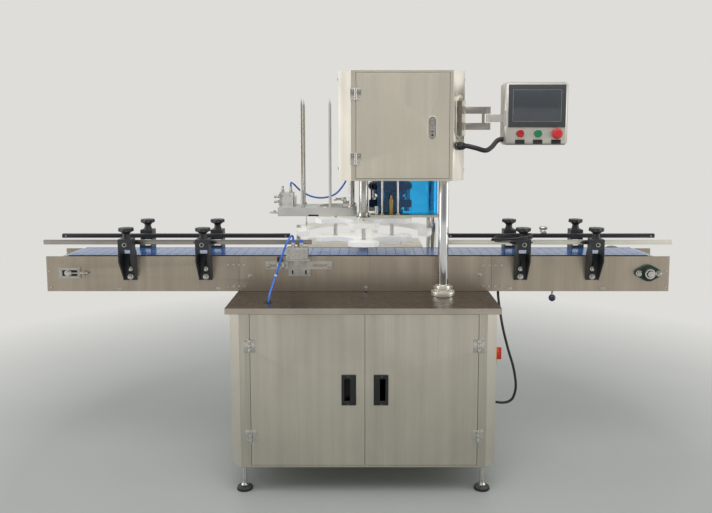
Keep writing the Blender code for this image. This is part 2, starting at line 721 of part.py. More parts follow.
def build_panels():
    """Front and back conveyor side panels with their folded bottom flange."""
    x = (-CONVEYOR_HALF_LENGTH, CONVEYOR_HALF_LENGTH)
    bore = SHAFT_RADIUS + RUNNING_GAP
    for name, outer, inward in (("conveyor_panel_front", CONVEYOR_FRONT_Y, 1),
                                ("conveyor_panel_back", CONVEYOR_BACK_Y, -1)):
        y = sorted((outer, outer + inward * SHEET))
        fold = sorted((outer, outer + inward * PANEL_FLANGE))
        panel = box(x, y, (PANEL_BOTTOM_Z, PANEL_TOP_Z))
        panel = join(panel, box(x, fold, (PANEL_BOTTOM_Z, PANEL_BOTTOM_Z + SHEET)))
        if inward > 0:
            length, height, thick = TENSION_PLATE
            middle = -SHAFT_X + TENSION_SHIFT
            panel = join(panel, box((middle - length / 2, middle + length / 2),
                                    (outer - thick, outer + SHEET / 2),
                                    (SHAFT_Z - height / 2, SHAFT_Z + height / 2)))
            panel = join(panel, rod((middle + length / 2 - thick, outer - thick, SHAFT_Z),
                                    (middle + length / 2 + TENSION_BOLT_END, outer - thick, SHAFT_Z),
                                    TENSION_BOLT_RADIUS, 8))
            panel = join(panel, box((middle + length / 2 + TENSION_NUT[0],
                                     middle + length / 2 + TENSION_NUT[1]),
                                    (outer - 3 * thick, outer + SHEET / 2),
                                    (SHAFT_Z - TENSION_NUT_HALF, SHAFT_Z + TENSION_NUT_HALF)))
            panel = join(panel, ball_knob())
        for shaft_x in (-SHAFT_X, SHAFT_X):
            panel = cut(panel, rod((shaft_x, outer - inward * BORE_MARGIN, SHAFT_Z),
                                   (shaft_x, outer + inward * BORE_MARGIN, SHAFT_Z), bore, 10))
        finish(panel, name, STEEL)


def ball_knob():
    """Small ball knob on a stem under the front panel's flange."""
    y = CONVEYOR_FRONT_Y + PANEL_FLANGE / 2
    centre = PANEL_BOTTOM_Z - BALL_KNOB_DROP + BALL_KNOB_RADIUS
    radius = BALL_KNOB_RADIUS
    profile = [(0, PANEL_BOTTOM_Z + SHEET / 2), (0.003, PANEL_BOTTOM_Z + SHEET / 2)]
    for step in range(4):
        angle = math.radians(65 - 120 * step / 3)
        profile.append((radius * math.cos(angle), centre - radius + radius * math.sin(angle)))
    profile.append((0, centre - 2 * radius))
    return turned(profile, (BALL_KNOB_X, y), 8)


def build_bed():
    """Slide bed between the panels, under the carrying run."""
    y = (CONVEYOR_FRONT_Y + SHEET + GAP, CONVEYOR_BACK_Y - SHEET - GAP)
    top = BELT_TOP_Z - SLAT_THICKNESS - GAP
    x = (-BED_HALF_LENGTH, BED_HALF_LENGTH)
    bed = box(x, y, (top - BED_DEPTH, top))
    bed = cut(bed, box((x[0] - SHEET, x[1] + SHEET), inset_limits(y, SHEET),
                       (top - BED_DEPTH - SHEET, top - SHEET)))
    finish(bed, "conveyor_bed", STEEL, smooth=False)


def chain_point(link, offset):
    """Point of the slat loop, link counted from the left end of the carrying run."""
    radius = PITCH_RADIUS + offset
    half = CHAIN_LINKS / 2
    side = 1 if link < half else -1
    along = link if link < half else link - half
    if along <= STRAIGHT_LINKS:
        x = side * (-SHAFT_X + along * SLAT_PITCH)
        return (x, SHAFT_Z + side * radius)
    turn = (along - STRAIGHT_LINKS) / (SPROCKET_TEETH / 2) * math.pi
    return (side * (SHAFT_X + radius * math.sin(turn)), SHAFT_Z + side * radius * math.cos(turn))


def build_chain():
    """Endless slat chain: one loop, seamed where it carries cans and turns."""
    outer = []
    reach = SLAT_SEAM / 2 / SLAT_PITCH
    surface = SLAT_THICKNESS / 2
    half = CHAIN_LINKS / 2
    for link in range(CHAIN_LINKS):
        seam = link + 0.25
        if half + 1 < link < half + STRAIGHT_LINKS - 1:
            continue
        outer.append(chain_point(seam - reach, surface))
        outer.append(chain_point(seam, surface - SLAT_SEAM_DEPTH))
        outer.append(chain_point(seam + reach, surface))
    inner = []
    for base in (0, half):
        for step in range(SPROCKET_TEETH + 1):
            link = base + STRAIGHT_LINKS + step / 2
            inner.append(chain_point(min(link, base + half - 0.001), -surface))
    chain = slab([outer, inner], BELT_FRONT_Y, BELT_BACK_Y, "XZ")
    finish(chain, "slat_chain", BLUE_PLASTIC, smooth=False)


def sprocket(shaft_x, y):
    """Toothed wheel that fits inside the chain's wrap."""
    outer = PITCH_RADIUS - SLAT_THICKNESS / 2 - RUNNING_GAP
    outer *= math.cos(math.pi / (2 * SPROCKET_TEETH))
    points = []
    for tooth in range(SPROCKET_TEETH):
        base = 360.0 * tooth / SPROCKET_TEETH
        for share, scale in ((0.0, 1.0), (0.50, 0.90)):
            angle = math.radians(base + share * 360.0 / SPROCKET_TEETH)
            points.append((shaft_x + outer * scale * math.cos(angle),
                           SHAFT_Z + outer * scale * math.sin(angle)))
    return slab([points], y - SPROCKET_WIDTH / 2, y + SPROCKET_WIDTH / 2, "XZ")


def build_shafts():
    """Drive shaft at the right and tail shaft at the left, each with two sprockets."""
    front_reach = CONVEYOR_FRONT_Y - FLANGE_THICKNESS - FLANGE_BOSS_REACH
    ends = {"drive_shaft": (SHAFT_X, front_reach, CONVEYOR_BACK_Y + GEARBOX_DEPTH / 2),
            "tail_shaft": (-SHAFT_X, CONVEYOR_FRONT_Y - 0.008, CONVEYOR_BACK_Y)}
    for name, (shaft_x, start, end) in ends.items():
        shaft = rod((shaft_x, start, SHAFT_Z), (shaft_x, end, SHAFT_Z), SHAFT_RADIUS, 10)
        for place in SPROCKET_PLACES:
            shaft = join(shaft, sprocket(shaft_x, place))
        finish(shaft, name, BRIGHT_STEEL, origin=(shaft_x, 0, SHAFT_Z))


def build_bearing():
    """Two bolt diamond flange bearing on the front panel, round the drive shaft."""
    end_radius = 0.014
    reach = FLANGE_LENGTH / 2 - end_radius
    middle = FLANGE_HEIGHT / 2
    lean = math.degrees(math.acos((middle - end_radius) / reach))
    outline = arc((SHAFT_X, SHAFT_Z), middle, lean, 180 - lean, 5)
    outline += arc((SHAFT_X - reach, SHAFT_Z), end_radius, 180 - lean, 180 + lean, 4)
    outline += arc((SHAFT_X, SHAFT_Z), middle, 180 + lean, 360 - lean, 5)
    outline += arc((SHAFT_X + reach, SHAFT_Z), end_radius, -lean, lean, 4)
    face = CONVEYOR_FRONT_Y - GAP
    flange = slab([outline], face - FLANGE_THICKNESS, face, "XZ")
    flange = join(flange, rod((SHAFT_X, face - FLANGE_THICKNESS - FLANGE_BOSS_REACH * 0.6, SHAFT_Z),
                              (SHAFT_X, face - FLANGE_THICKNESS / 2, SHAFT_Z),
                              FLANGE_BOSS_RADIUS * 0.85, 12, FLANGE_BOSS_RADIUS))
    for side in (-1, 1):
        bolt_x = SHAFT_X + side * reach
        flange = join(flange, rod((bolt_x, face - FLANGE_THICKNESS - 0.006, SHAFT_Z),
                                  (bolt_x, face - FLANGE_THICKNESS / 2, SHAFT_Z), 0.008, 6))
    flange = cut(flange, rod((SHAFT_X, face - 0.1, SHAFT_Z), (SHAFT_X, face + 0.01, SHAFT_Z),
                             SHAFT_RADIUS + 2 * GAP, 12))
    finish(flange, "bearing_flange", DARK_GREEN)


def build_motor():
    """Gear motor on the back panel, hollow where the drive shaft plugs in."""
    face = CONVEYOR_BACK_Y + GAP
    half = GEARBOX_SIZE / 2
    z_low = max(SHAFT_Z - half, PANEL_BOTTOM_Z)
    body = box((SHAFT_X - half, SHAFT_X + half), (face, face + GEARBOX_DEPTH), (z_low, SHAFT_Z + half))
    end = face + GEARBOX_DEPTH
    body = join(body, rod((SHAFT_X, end - SHEET, SHAFT_Z), (SHAFT_X, end + MOTOR_LENGTH, SHAFT_Z),
                          MOTOR_RADIUS, 16))
    body = join(body, rod((SHAFT_X, end + MOTOR_LENGTH - SHEET, SHAFT_Z),
                          (SHAFT_X, end + MOTOR_LENGTH + 0.020, SHAFT_Z), MOTOR_RADIUS * 0.92, 16))
    body = cut(body, rod((SHAFT_X, face - 0.01, SHAFT_Z),
                         (SHAFT_X, face + GEARBOX_DEPTH * 0.6, SHAFT_Z), SHAFT_RADIUS + 2 * GAP, 12))
    finish(body, "conveyor_motor", CREAM_PAINT)


def build_rails():
    """Four guide rails, each a steel channel with a wear strip, rods and clamps."""
    for name, inner in RAIL_INNER_ENDS.items():
        front = name.startswith("front")
        left = name.endswith("left")
        out = -1 if front else 1
        lane = LANE_FRONT_Y if front else LANE_BACK_Y
        x = (-RAIL_END, inner) if left else (inner, RAIL_END)
        z = (RAIL_Z - RAIL_HEIGHT / 2, RAIL_Z + RAIL_HEIGHT / 2)
        middle = lane + out * RAIL_STRIP
        outer = middle + out * RAIL_STEEL
        rail = box(x, sorted((middle, outer)), z)
        rail = join(rail, box((x[0] + 0.002, x[1] - 0.002), sorted((lane, middle + out * 0.001)),
                              inset_limits(z, 0.0015)))
        face = CONVEYOR_FRONT_Y if front else CONVEYOR_BACK_Y
        rod_end = face + out * (GAP + BRACKET_REACH + ROD_PAST_BLOCK)
        for place in BRACKET_PLACES:
            if (place < 0) != left:
                continue
            ellipse = [(place + CLAMP_HALF_WIDTH * math.cos(math.radians(45 * step)),
                        RAIL_Z + RAIL_HEIGHT * 0.46 * math.sin(math.radians(45 * step)))
                       for step in range(8)]
            low, high = sorted((outer - out * 0.001, outer + out * CLAMP_THICKNESS))
            rail = join(rail, slab([ellipse], low, high, "XZ"))
            rail = join(rail, rod((place, outer, RAIL_Z), (place, rod_end, RAIL_Z), ROD_RADIUS, 6))
        finish(rail, "guide_rail_" + name, STEEL)


def bracket(place, front):
    """Channel bracket that tapers down the panel, with its cross block and knob."""
    out = -1 if front else 1
    face = (CONVEYOR_FRONT_Y if front else CONVEYOR_BACK_Y) + out * GAP
    reach = BRACKET_REACH
    low, high = BRACKET_BLOCK_Z
    side = [(0, BRACKET_BOTTOM_Z), (0.010, BRACKET_BOTTOM_Z), (reach, BRACKET_BOTTOM_Z + 0.083),
            (reach, high), (BRACKET_BLOCK_INNER, high), (BRACKET_BLOCK_INNER, low),
            (0, BRACKET_WEB_TOP_Z)]
    outline = [(face + out * distance, z) for distance, z in side]
    x = (place - BRACKET_WIDTH / 2, place + BRACKET_WIDTH / 2)
    body = slab([outline], x[0], x[1], "YZ")
    web = sorted((face + out * BRACKET_WALL, face + out * (reach + BRACKET_WALL)))
    body = cut(body, box(inset_limits(x, BRACKET_WALL), web,
                         (BRACKET_BOTTOM_Z - BRACKET_WALL, low)))
    behind = sorted((face - out * BRACKET_WALL, face + out * (BRACKET_WALL + GAP)))
    body = cut(body, box(inset_limits(x, BRACKET_WALL), behind, (BRACKET_WEB_TOP_Z - BRACKET_WALL, low)))
    knob_y = face + out * (BRACKET_BLOCK_INNER + reach) / 2
    profile = [(0, KNOB_TOP_Z), (KNOB_RADIUS * 0.9, KNOB_TOP_Z), (KNOB_RADIUS, KNOB_TOP_Z - 0.012),
               (KNOB_STEM_RADIUS, KNOB_TOP_Z - 0.020), (KNOB_STEM_RADIUS, high - GAP * 4),
               (0, high - GAP * 4)]
    body = join(body, turned(profile, (place, knob_y), 9))
    bore_end = face + out * (reach + BRACKET_WALL)
    return cut(body, rod((place, face, RAIL_Z), (place, bore_end, RAIL_Z), ROD_RADIUS + 2 * GAP, 6))


def build_brackets():
    """Eight rail brackets, four on each side panel."""
    for row in ("front", "back"):
        for number, place in enumerate(BRACKET_PLACES, start=1):
            finish(bracket(place, row == "front"), f"rail_bracket_{row}_{number}", BLACK_PLASTIC)


def build_stopper():
    """Slotted bar and bracket on the front panel, with the can stop cylinder and rod."""
    face = CONVEYOR_FRONT_Y - GAP
    bar = box(STOPPER_BAR_X, (face - STOPPER_BAR_THICKNESS, face), STOPPER_BAR_Z)
    middle_z = sum(STOPPER_BAR_Z) / 2
    for x in ((STOPPER_BAR_X[0] + STOPPER_SLOT_START, STOPPER_PLATE_X[0] - BORE_MARGIN),
              (STOPPER_PLATE_X[1] + STOPPER_SLOT_START, STOPPER_BAR_X[1] - BORE_MARGIN)):
        bar = cut(bar, box(x, (face - BORE_MARGIN, face + BORE_MARGIN),
                           (middle_z - STOPPER_SLOT_HALF, middle_z + STOPPER_SLOT_HALF)))
    plate_y = (face - STOPPER_PLATE_OUT, face - STOPPER_PLATE_OUT + STOPPER_PLATE_THICKNESS)
    plate = box(STOPPER_PLATE_X, plate_y, STOPPER_PLATE_Z)
    top = STOPPER_CYLINDER_Z - STOPPER_CYLINDER_HEIGHT / 2 - GAP
    plate = join(plate, box(STOPPER_PLATE_X, (STOPPER_CYLINDER_Y[0], plate_y[1]),
                            (top - STOPPER_PLATE_THICKNESS, top)))
    for x in (STOPPER_PLATE_X[0] + STOPPER_SLOT_INSET, STOPPER_PLATE_X[1] - STOPPER_SLOT_INSET):
        plate = cut(plate, box((x - STOPPER_SLOT_HALF_WIDTH, x + STOPPER_SLOT_HALF_WIDTH),
                               (plate_y[0] - JOIN_DEPTH, plate_y[1] + JOIN_DEPTH),
                               (STOPPER_PLATE_Z[0] + STOPPER_SLOT_LIFT[0],
                                STOPPER_PLATE_Z[0] + STOPPER_SLOT_LIFT[1])))
    finish(join(bar, plate), "stopper_mount", STEEL)
    x = (STOPPER_PLATE_X[0], STOPPER_PLATE_X[0] + 0.083)
    half = STOPPER_CYLINDER_HEIGHT / 2
    z = (STOPPER_CYLINDER_Z - half, STOPPER_CYLINDER_Z + half)
    body = box(x, STOPPER_CYLINDER_Y, z)
    middle_x = sum(x) / 2
    for offset in (-STOPPER_FITTING_SHIFT, STOPPER_FITTING_SHIFT):
        fitting = [(0, z[1] + 0.032), (0.004, z[1] + 0.032), (0.004, z[1] + 0.020),
                   (0.008, z[1] + 0.018), (0.008, z[1] - 0.004), (0, z[1] - 0.004)]
        body = join(body, turned(fitting, (middle_x + offset, STOPPER_CYLINDER_Y[0] + STOPPER_FITTING_Y), 8))
    bore = STOPPER_ROD_RADIUS + RUNNING_GAP
    rod_y = (STOPPER_CYLINDER_Y[0] + 0.004, STOPPER_CYLINDER_Y[1] + 0.010)
    body = cut(body, rod((middle_x, rod_y[0] - JOIN_DEPTH, STOPPER_CYLINDER_Z),
                         (middle_x, STOPPER_CYLINDER_Y[1] + JOIN_DEPTH, STOPPER_CYLINDER_Z), bore, 8))
    finish(body, "stopper_cylinder", STEEL)
    plunger = rod((middle_x, rod_y[0], STOPPER_CYLINDER_Z), (middle_x, rod_y[1], STOPPER_CYLINDER_Z),
                  STOPPER_ROD_RADIUS, 8)
    plunger = join(plunger, rod((middle_x, rod_y[1] - JOIN_DEPTH, STOPPER_CYLINDER_Z),
                                (middle_x, rod_y[1] + 0.010, STOPPER_CYLINDER_Z),
                                STOPPER_PAD_RADIUS, 12))
    finish(plunger, "stopper_rod", BRIGHT_STEEL, origin=(middle_x, rod_y[0], STOPPER_CYLINDER_Z))


def star_outline():
    """Star with one pocket between each two lobes; the first lobe points along +X."""
    points = []
    step = 360.0 / STAR_POCKETS
    centre = (STAR_X, STAR_Y)
    for lobe in range(STAR_POCKETS):
        axis = lobe * step
        points += arc(centre, STAR_RADIUS, axis - STAR_LOBE_HALF_ANGLE, axis + STAR_LOBE_HALF_ANGLE, 3)
        pocket = math.radians(axis + step / 2)
        heart = (STAR_X + STAR_PITCH_RADIUS * math.cos(pocket),
                 STAR_Y + STAR_PITCH_RADIUS * math.sin(pocket))
        inward = axis + step / 2 + 180
        points += arc(heart, CAN_RADIUS + CAN_CLEARANCE, inward + 92, inward - 92, 9)
    return points


def build_star():
    """Star wheel: two lobed plates on a hub and shaft, tied by four pillars."""
    outline = star_outline()
    top = STAR_UPPER_Z + STAR_PLATE
    wheel = slab([outline], STAR_LOWER_Z, STAR_LOWER_Z + STAR_PLATE)
    upper = slab([outline], STAR_UPPER_Z, top)
    hub = turned([(0, HEAD_Z[0] - GAP), (STAR_SHAFT_RADIUS, HEAD_Z[0] - GAP),
                  (STAR_SHAFT_RADIUS, top + 0.005), (STAR_HUB_RADIUS, top + 0.003),
                  (STAR_HUB_RADIUS, STAR_LOWER_Z - 0.008), (STAR_SHAFT_RADIUS, STAR_LOWER_Z - 0.008),
                  (STAR_SHAFT_RADIUS, TABLE_TOP_Z + GAP), (0, TABLE_TOP_Z + GAP)],
                 (STAR_X, STAR_Y), 12)
    wheel = join(wheel, hub, upper)
    for quarter in range(STAR_POCKETS):
        angle = math.radians(360.0 / STAR_POCKETS * quarter)
        place = (STAR_X + PILLAR_PLACE_RADIUS * math.cos(angle),
                 STAR_Y + PILLAR_PLACE_RADIUS * math.sin(angle))
        wheel = join(wheel, rod((*place, STAR_LOWER_Z + STAR_PLATE / 2),
                                (*place, STAR_UPPER_Z + STAR_PLATE / 2), PILLAR_RADIUS, 6))
    finish(wheel, "star_wheel", WHITE_PLASTIC, origin=(STAR_X, STAR_Y, 0))


def build_transfer_plate():
    """Dead plate behind the conveyor, on four legs, with holes for shaft and lift."""
    y = (CONVEYOR_BACK_Y + GAP * 2, TRANSFER_BACK_Y)
    z = (BELT_TOP_Z - GAP - TRANSFER_THICKNESS, BELT_TOP_Z - GAP)
    outline = [(TRANSFER_X[0], y[0]), (TRANSFER_X[1], y[0]), (TRANSFER_X[1], y[1]),
               (TRANSFER_X[0], y[1])]
    holes = [circle((STAR_X, STAR_Y), STAR_SHAFT_RADIUS + 2 * RUNNING_GAP, 16),
             circle((SEAMER_X, SEAMER_Y), LIFT_RADIUS + 2 * RUNNING_GAP, 16)]
    plate = slab([outline] + holes, z[0], z[1])
    for x in inset_limits(TRANSFER_X, 2 * TRANSFER_LEG_RADIUS):
        for leg_y in inset_limits(y, 2 * TRANSFER_LEG_RADIUS):
            plate = join(plate, rod((x, leg_y, TABLE_TOP_Z + GAP), (x, leg_y, z[1] - GAP * 4),
                                    TRANSFER_LEG_RADIUS, 6))
    finish(plate, "transfer_plate", STEEL)
    centre = (SEAMER_X, SEAMER_Y)
    low = z[1] - LIFT_THICKNESS
    profile = [(0, z[1]), (LIFT_RADIUS, z[1]), (LIFT_RADIUS, low),
               (LIFT_RAM_RADIUS, low - 0.010), (LIFT_RAM_RADIUS, TABLE_TOP_Z + GAP),
               (0, TABLE_TOP_Z + GAP)]
    finish(turned(profile, centre, 16), "lift_plate", BRIGHT_STEEL, origin=(*centre, low))


def build_star_guide():
    """Curved outer guide round the back of the star, on three posts."""
    inner = STAR_PITCH_RADIUS + CAN_RADIUS + 2 * CAN_CLEARANCE
    centre = (STAR_X, STAR_Y)
    outline = arc(centre, inner, GUIDE_START, GUIDE_END, 17)
    outline += arc(centre, GUIDE_OUTER_RADIUS, GUIDE_END, GUIDE_START, 17)
    guide = slab([outline], GUIDE_Z, GUIDE_Z + GUIDE_THICKNESS)
    for angle in GUIDE_POST_ANGLES:
        turn = math.radians(angle)
        place = (STAR_X + GUIDE_POST_PLACE_RADIUS * math.cos(turn),
                 STAR_Y + GUIDE_POST_PLACE_RADIUS * math.sin(turn))
        top = SHELF_Z[0] - GAP if angle == GUIDE_POST_ANGLES[0] else GUIDE_Z + GUIDE_THICKNESS + 0.012
        guide = join(guide, rod((*place, TABLE_TOP_Z + GAP), (*place, top), GUIDE_POST_RADIUS, 6))
    finish(guide, "star_guide", WHITE_PLASTIC)


def build_columns():
    """Front and rear columns with their bolted base flanges."""
    for name, y in (("column_front", COLUMN_FRONT_Y), ("column_rear", COLUMN_BACK_Y)):
        base = TABLE_TOP_Z + GAP
        top = HEAD_Z[0] - GAP
        flange_top = base + COLUMN_FLANGE
        collar_top = flange_top + COLUMN_COLLAR - COLUMN_FLANGE
        profile = [(0, top), (COLUMN_RADIUS, top), (COLUMN_RADIUS, collar_top),
                   (COLUMN_COLLAR_RADIUS, collar_top), (COLUMN_COLLAR_RADIUS, flange_top),
                   (COLUMN_FLANGE_RADIUS, flange_top), (COLUMN_FLANGE_RADIUS, base), (0, base)]
        column = turned(profile, (COLUMN_X, y), 13)
        ring = (COLUMN_FLANGE_RADIUS + COLUMN_COLLAR_RADIUS) / 2
        for quarter in range(4):
            angle = math.radians(45 + 90 * quarter)
            place = (COLUMN_X + ring * math.cos(angle), y + ring * math.sin(angle))
            column = join(column, rod((*place, flange_top - 0.004), (*place, flange_top + 0.008),
                                      0.006, 6))
        finish(column, name, BRIGHT_STEEL)


def build_head_housing():
    """Head box with its doorway, hinge leaves, cable gland and arm hinge plate."""
    body = shell(HEAD_X, HEAD_Y, HEAD_Z, HEAD_CHAMFER, SHEET, HEAD_FLOOR, SHEET)
    doorway_z = (HEAD_Z[0] + HEAD_DOOR_MARGIN_Z, HEAD_Z[1] - HEAD_DOOR_MARGIN_Z)
    ring = box(inset_limits(HEAD_DOORWAY_X, -SHEET), (HEAD_FRONT_Y + SHEET / 2, HEAD_FRONT_Y + FRAME_RETURN),
               inset_limits(doorway_z, -SHEET / 2))
    body = join(body, ring)
    body = cut(body, box(HEAD_DOORWAY_X, (HEAD_FRONT_Y - SHEET, HEAD_FRONT_Y + FRAME_RETURN + SHEET),
                         doorway_z))
    body = cut(body, rod((SEAMER_X, SEAMER_Y, HEAD_Z[0] - 0.01), (SEAMER_X, SEAMER_Y, HEAD_Z[0] + 0.05),
                         SPINDLE_RADIUS + RUNNING_GAP, 16))
    for z in HEAD_HINGE_Z:
        body = join(body, hinge_half(HEAD_DOORWAY_X[0], HEAD_DOOR_AXIS_Y, z, HEAD_HINGE_HEIGHT, -1,
                                     True, HEAD_FRONT_Y))
    body = join(body, arm_hinge_plate(), cable_gland())
    finish(body, "head_housing", STEEL)


def chamfer_frame(z):
    """Matrix whose X runs along the right front chamfer and whose -Y points out of it."""
    middle = Vector((HEAD_X[1] - HEAD_CHAMFER / 2, HEAD_FRONT_Y + HEAD_CHAMFER / 2, z))
    return Matrix.Translation(middle) @ Matrix.Rotation(math.radians(45), 4, "Z")


def arm_hinge_plate():
    """Obround plate on the chamfer with three fixed knuckles round the arm's axis."""
    width, height, thick = ARM_PLATE
    plate = slab([obround((0, 0), width, height)], -thick, SHEET / 2, "XZ")
    plate.data.transform(chamfer_frame(ARM_PLATE_Z))
    bars = [(z - ARM_BAR_HEIGHT / 2, z + ARM_BAR_HEIGHT / 2) for z in ARM_BAR_Z]
    spans = [(bars[0][0] - 0.022, bars[0][0] - RUNNING_GAP),
             (bars[0][1] + RUNNING_GAP, bars[1][0] - RUNNING_GAP),
             (bars[1][1] + RUNNING_GAP, bars[1][1] + 0.022)]
    to_plate = chamfer_frame(0)
    foot = to_plate @ Vector((0, 0, 0))
    for low, high in spans:
        knuckle = rod((*ARM_AXIS_A, low), (*ARM_AXIS_A, high), ARM_BARREL_RADIUS, 8)
        web = box((-0.003, 0.003), (-(Vector(ARM_AXIS_A) - foot.xy).length, 0), (low, high))
        web.data.transform(to_plate)
        plate = join(plate, join(knuckle, web))
    return plate


def cable_gland():
    """Round gland on the chamfer for the control box cable."""
    gland = rod((0, SHEET / 2, 0), (0, -GLAND_REACH * 0.5, 0), GLAND_RADIUS, 10)
    gland = join(gland, rod((0, 0, 0), (0, -GLAND_REACH, 0), GLAND_RADIUS * 0.8, 10))
    gland.data.transform(chamfer_frame(GLAND_Z))
    return gland


def build_head_door():
    """Head box door, with the recess and rim for its latch, and the latch lever."""
    x = inset_limits(HEAD_DOORWAY_X, DOOR_GAP)
    z = inset_limits((HEAD_Z[0] + HEAD_DOOR_MARGIN_Z, HEAD_Z[1] - HEAD_DOOR_MARGIN_Z), DOOR_GAP)
    door = door_pan(x, z, HEAD_FRONT_Y)
    for hinge_z in HEAD_HINGE_Z:
        door = join(door, hinge_half(HEAD_DOORWAY_X[0], HEAD_DOOR_AXIS_Y, hinge_z, HEAD_HINGE_HEIGHT,
                                     1, False, HEAD_FRONT_Y))
    centre = (LATCH_X, LATCH_Z)
    door = join(door, slab([obround(centre, LATCH_WIDTH, LATCH_HEIGHT)], HEAD_FRONT_Y - LATCH_RIM / 2,
                           HEAD_FRONT_Y + SHEET / 2, "XZ"))
    inner = (LATCH_WIDTH - 2 * LATCH_RIM, LATCH_HEIGHT - 2 * LATCH_RIM)
    door = cut(door, slab([obround(centre, *inner)], HEAD_FRONT_Y - LATCH_RIM,
                          HEAD_FRONT_Y + 2 * SHEET, "XZ"))
    finish(door, "head_door", STEEL, origin=(HEAD_DOORWAY_X[0], HEAD_DOOR_AXIS_Y, 0))
    lever = slab([obround(centre, inner[0] - 2 * RUNNING_GAP, inner[1] - 4 * RUNNING_GAP)],
                 HEAD_FRONT_Y - LATCH_RIM / 2, HEAD_FRONT_Y - LATCH_RIM / 2 + LATCH_THICKNESS, "XZ")
    pivot = (LATCH_X, HEAD_FRONT_Y, LATCH_Z - inner[1] / 2 + LATCH_PIVOT_RISE)
    reach = inner[0] / 2 - GAP
    lever = join(lever, rod((LATCH_X - reach, *pivot[1:]), (LATCH_X + reach, *pivot[1:]),
                            LATCH_PIN_RADIUS, 6))
    finish(lever, "head_latch", BRIGHT_STEEL, origin=pivot)


def build_seamer():
    """Seaming head on its spindle, with chuck, drum, roller arms and two rollers."""
    spindle = SPINDLE_RADIUS
    profile = [(0, SPINDLE_TOP_Z), (spindle, SPINDLE_TOP_Z), (spindle, PULLEY_Z[1]),
               (PULLEY_RADIUS, PULLEY_Z[1]), (PULLEY_RADIUS, PULLEY_Z[0]),
               (spindle, PULLEY_Z[0]), (spindle, SEAMER_DISC_Z[1]),
               (SEAMER_DISC_RADIUS, SEAMER_DISC_Z[1]), (SEAMER_DISC_RADIUS, SEAMER_DISC_Z[0]),
               (SEAMER_DRUM_RADIUS, SEAMER_DISC_Z[0] - 0.004), (SEAMER_DRUM_RADIUS, SEAMER_ARM_Z[0]),
               (CHUCK_RADIUS * 0.8, CHUCK_Z[1]), (CHUCK_RADIUS, CHUCK_Z[1]), (CHUCK_RADIUS, CHUCK_Z[0]),
               (0, CHUCK_Z[0])]
    head = turned(profile, (SEAMER_X, SEAMER_Y), 16)
    for turn in (0, 90, 180, 270):
        arm = box((SEAMER_DRUM_RADIUS - 0.010, SEAMER_DISC_RADIUS), (-0.014, 0.014), SEAMER_ARM_Z)
        arm.data.transform(Matrix.Translation((SEAMER_X, SEAMER_Y, 0))
                           @ Matrix.Rotation(math.radians(turn), 4, "Z"))
        head = join(head, arm)
    post = rod((SEAMER_DISC_RADIUS - 0.010, 0, SEAMER_ARM_Z[1] - JOIN_DEPTH),
               (SEAMER_DISC_RADIUS - 0.010, 0, SEAMER_DISC_Z[0] + JOIN_DEPTH), 0.005, 6)
    for turn in (0, 90, 180, 270):
        copy = add_object("post", post.data.copy())
        copy.data.transform(Matrix.Translation((SEAMER_X, SEAMER_Y, 0))
                            @ Matrix.Rotation(math.radians(turn), 4, "Z"))
        head = join(head, copy)
    bpy.data.objects.remove(post, do_unlink=True)
    roller_top = SEAMER_ARM_Z[0] - GAP
    roller_low = roller_top - ROLLER_HEIGHT
    for number, side in ((1, -1), (2, 1)):
        place = (SEAMER_X + side * ROLLER_ORBIT, SEAMER_Y)
        head = join(head, rod((*place, SEAMER_ARM_Z[0] + 0.004), (*place, roller_low - 0.001),
                              ROLLER_PIN_RADIUS, 8))
        ring = slab([circle(place, ROLLER_RADIUS, 16), circle(place, ROLLER_PIN_RADIUS + 2 * GAP, 8)],
                    roller_low, roller_top)
        finish(ring, f"seaming_roller_{number}", BRIGHT_STEEL, origin=(*place, roller_low))
    finish(head, "seaming_head", DARK_STEEL, origin=(SEAMER_X, SEAMER_Y, 0))


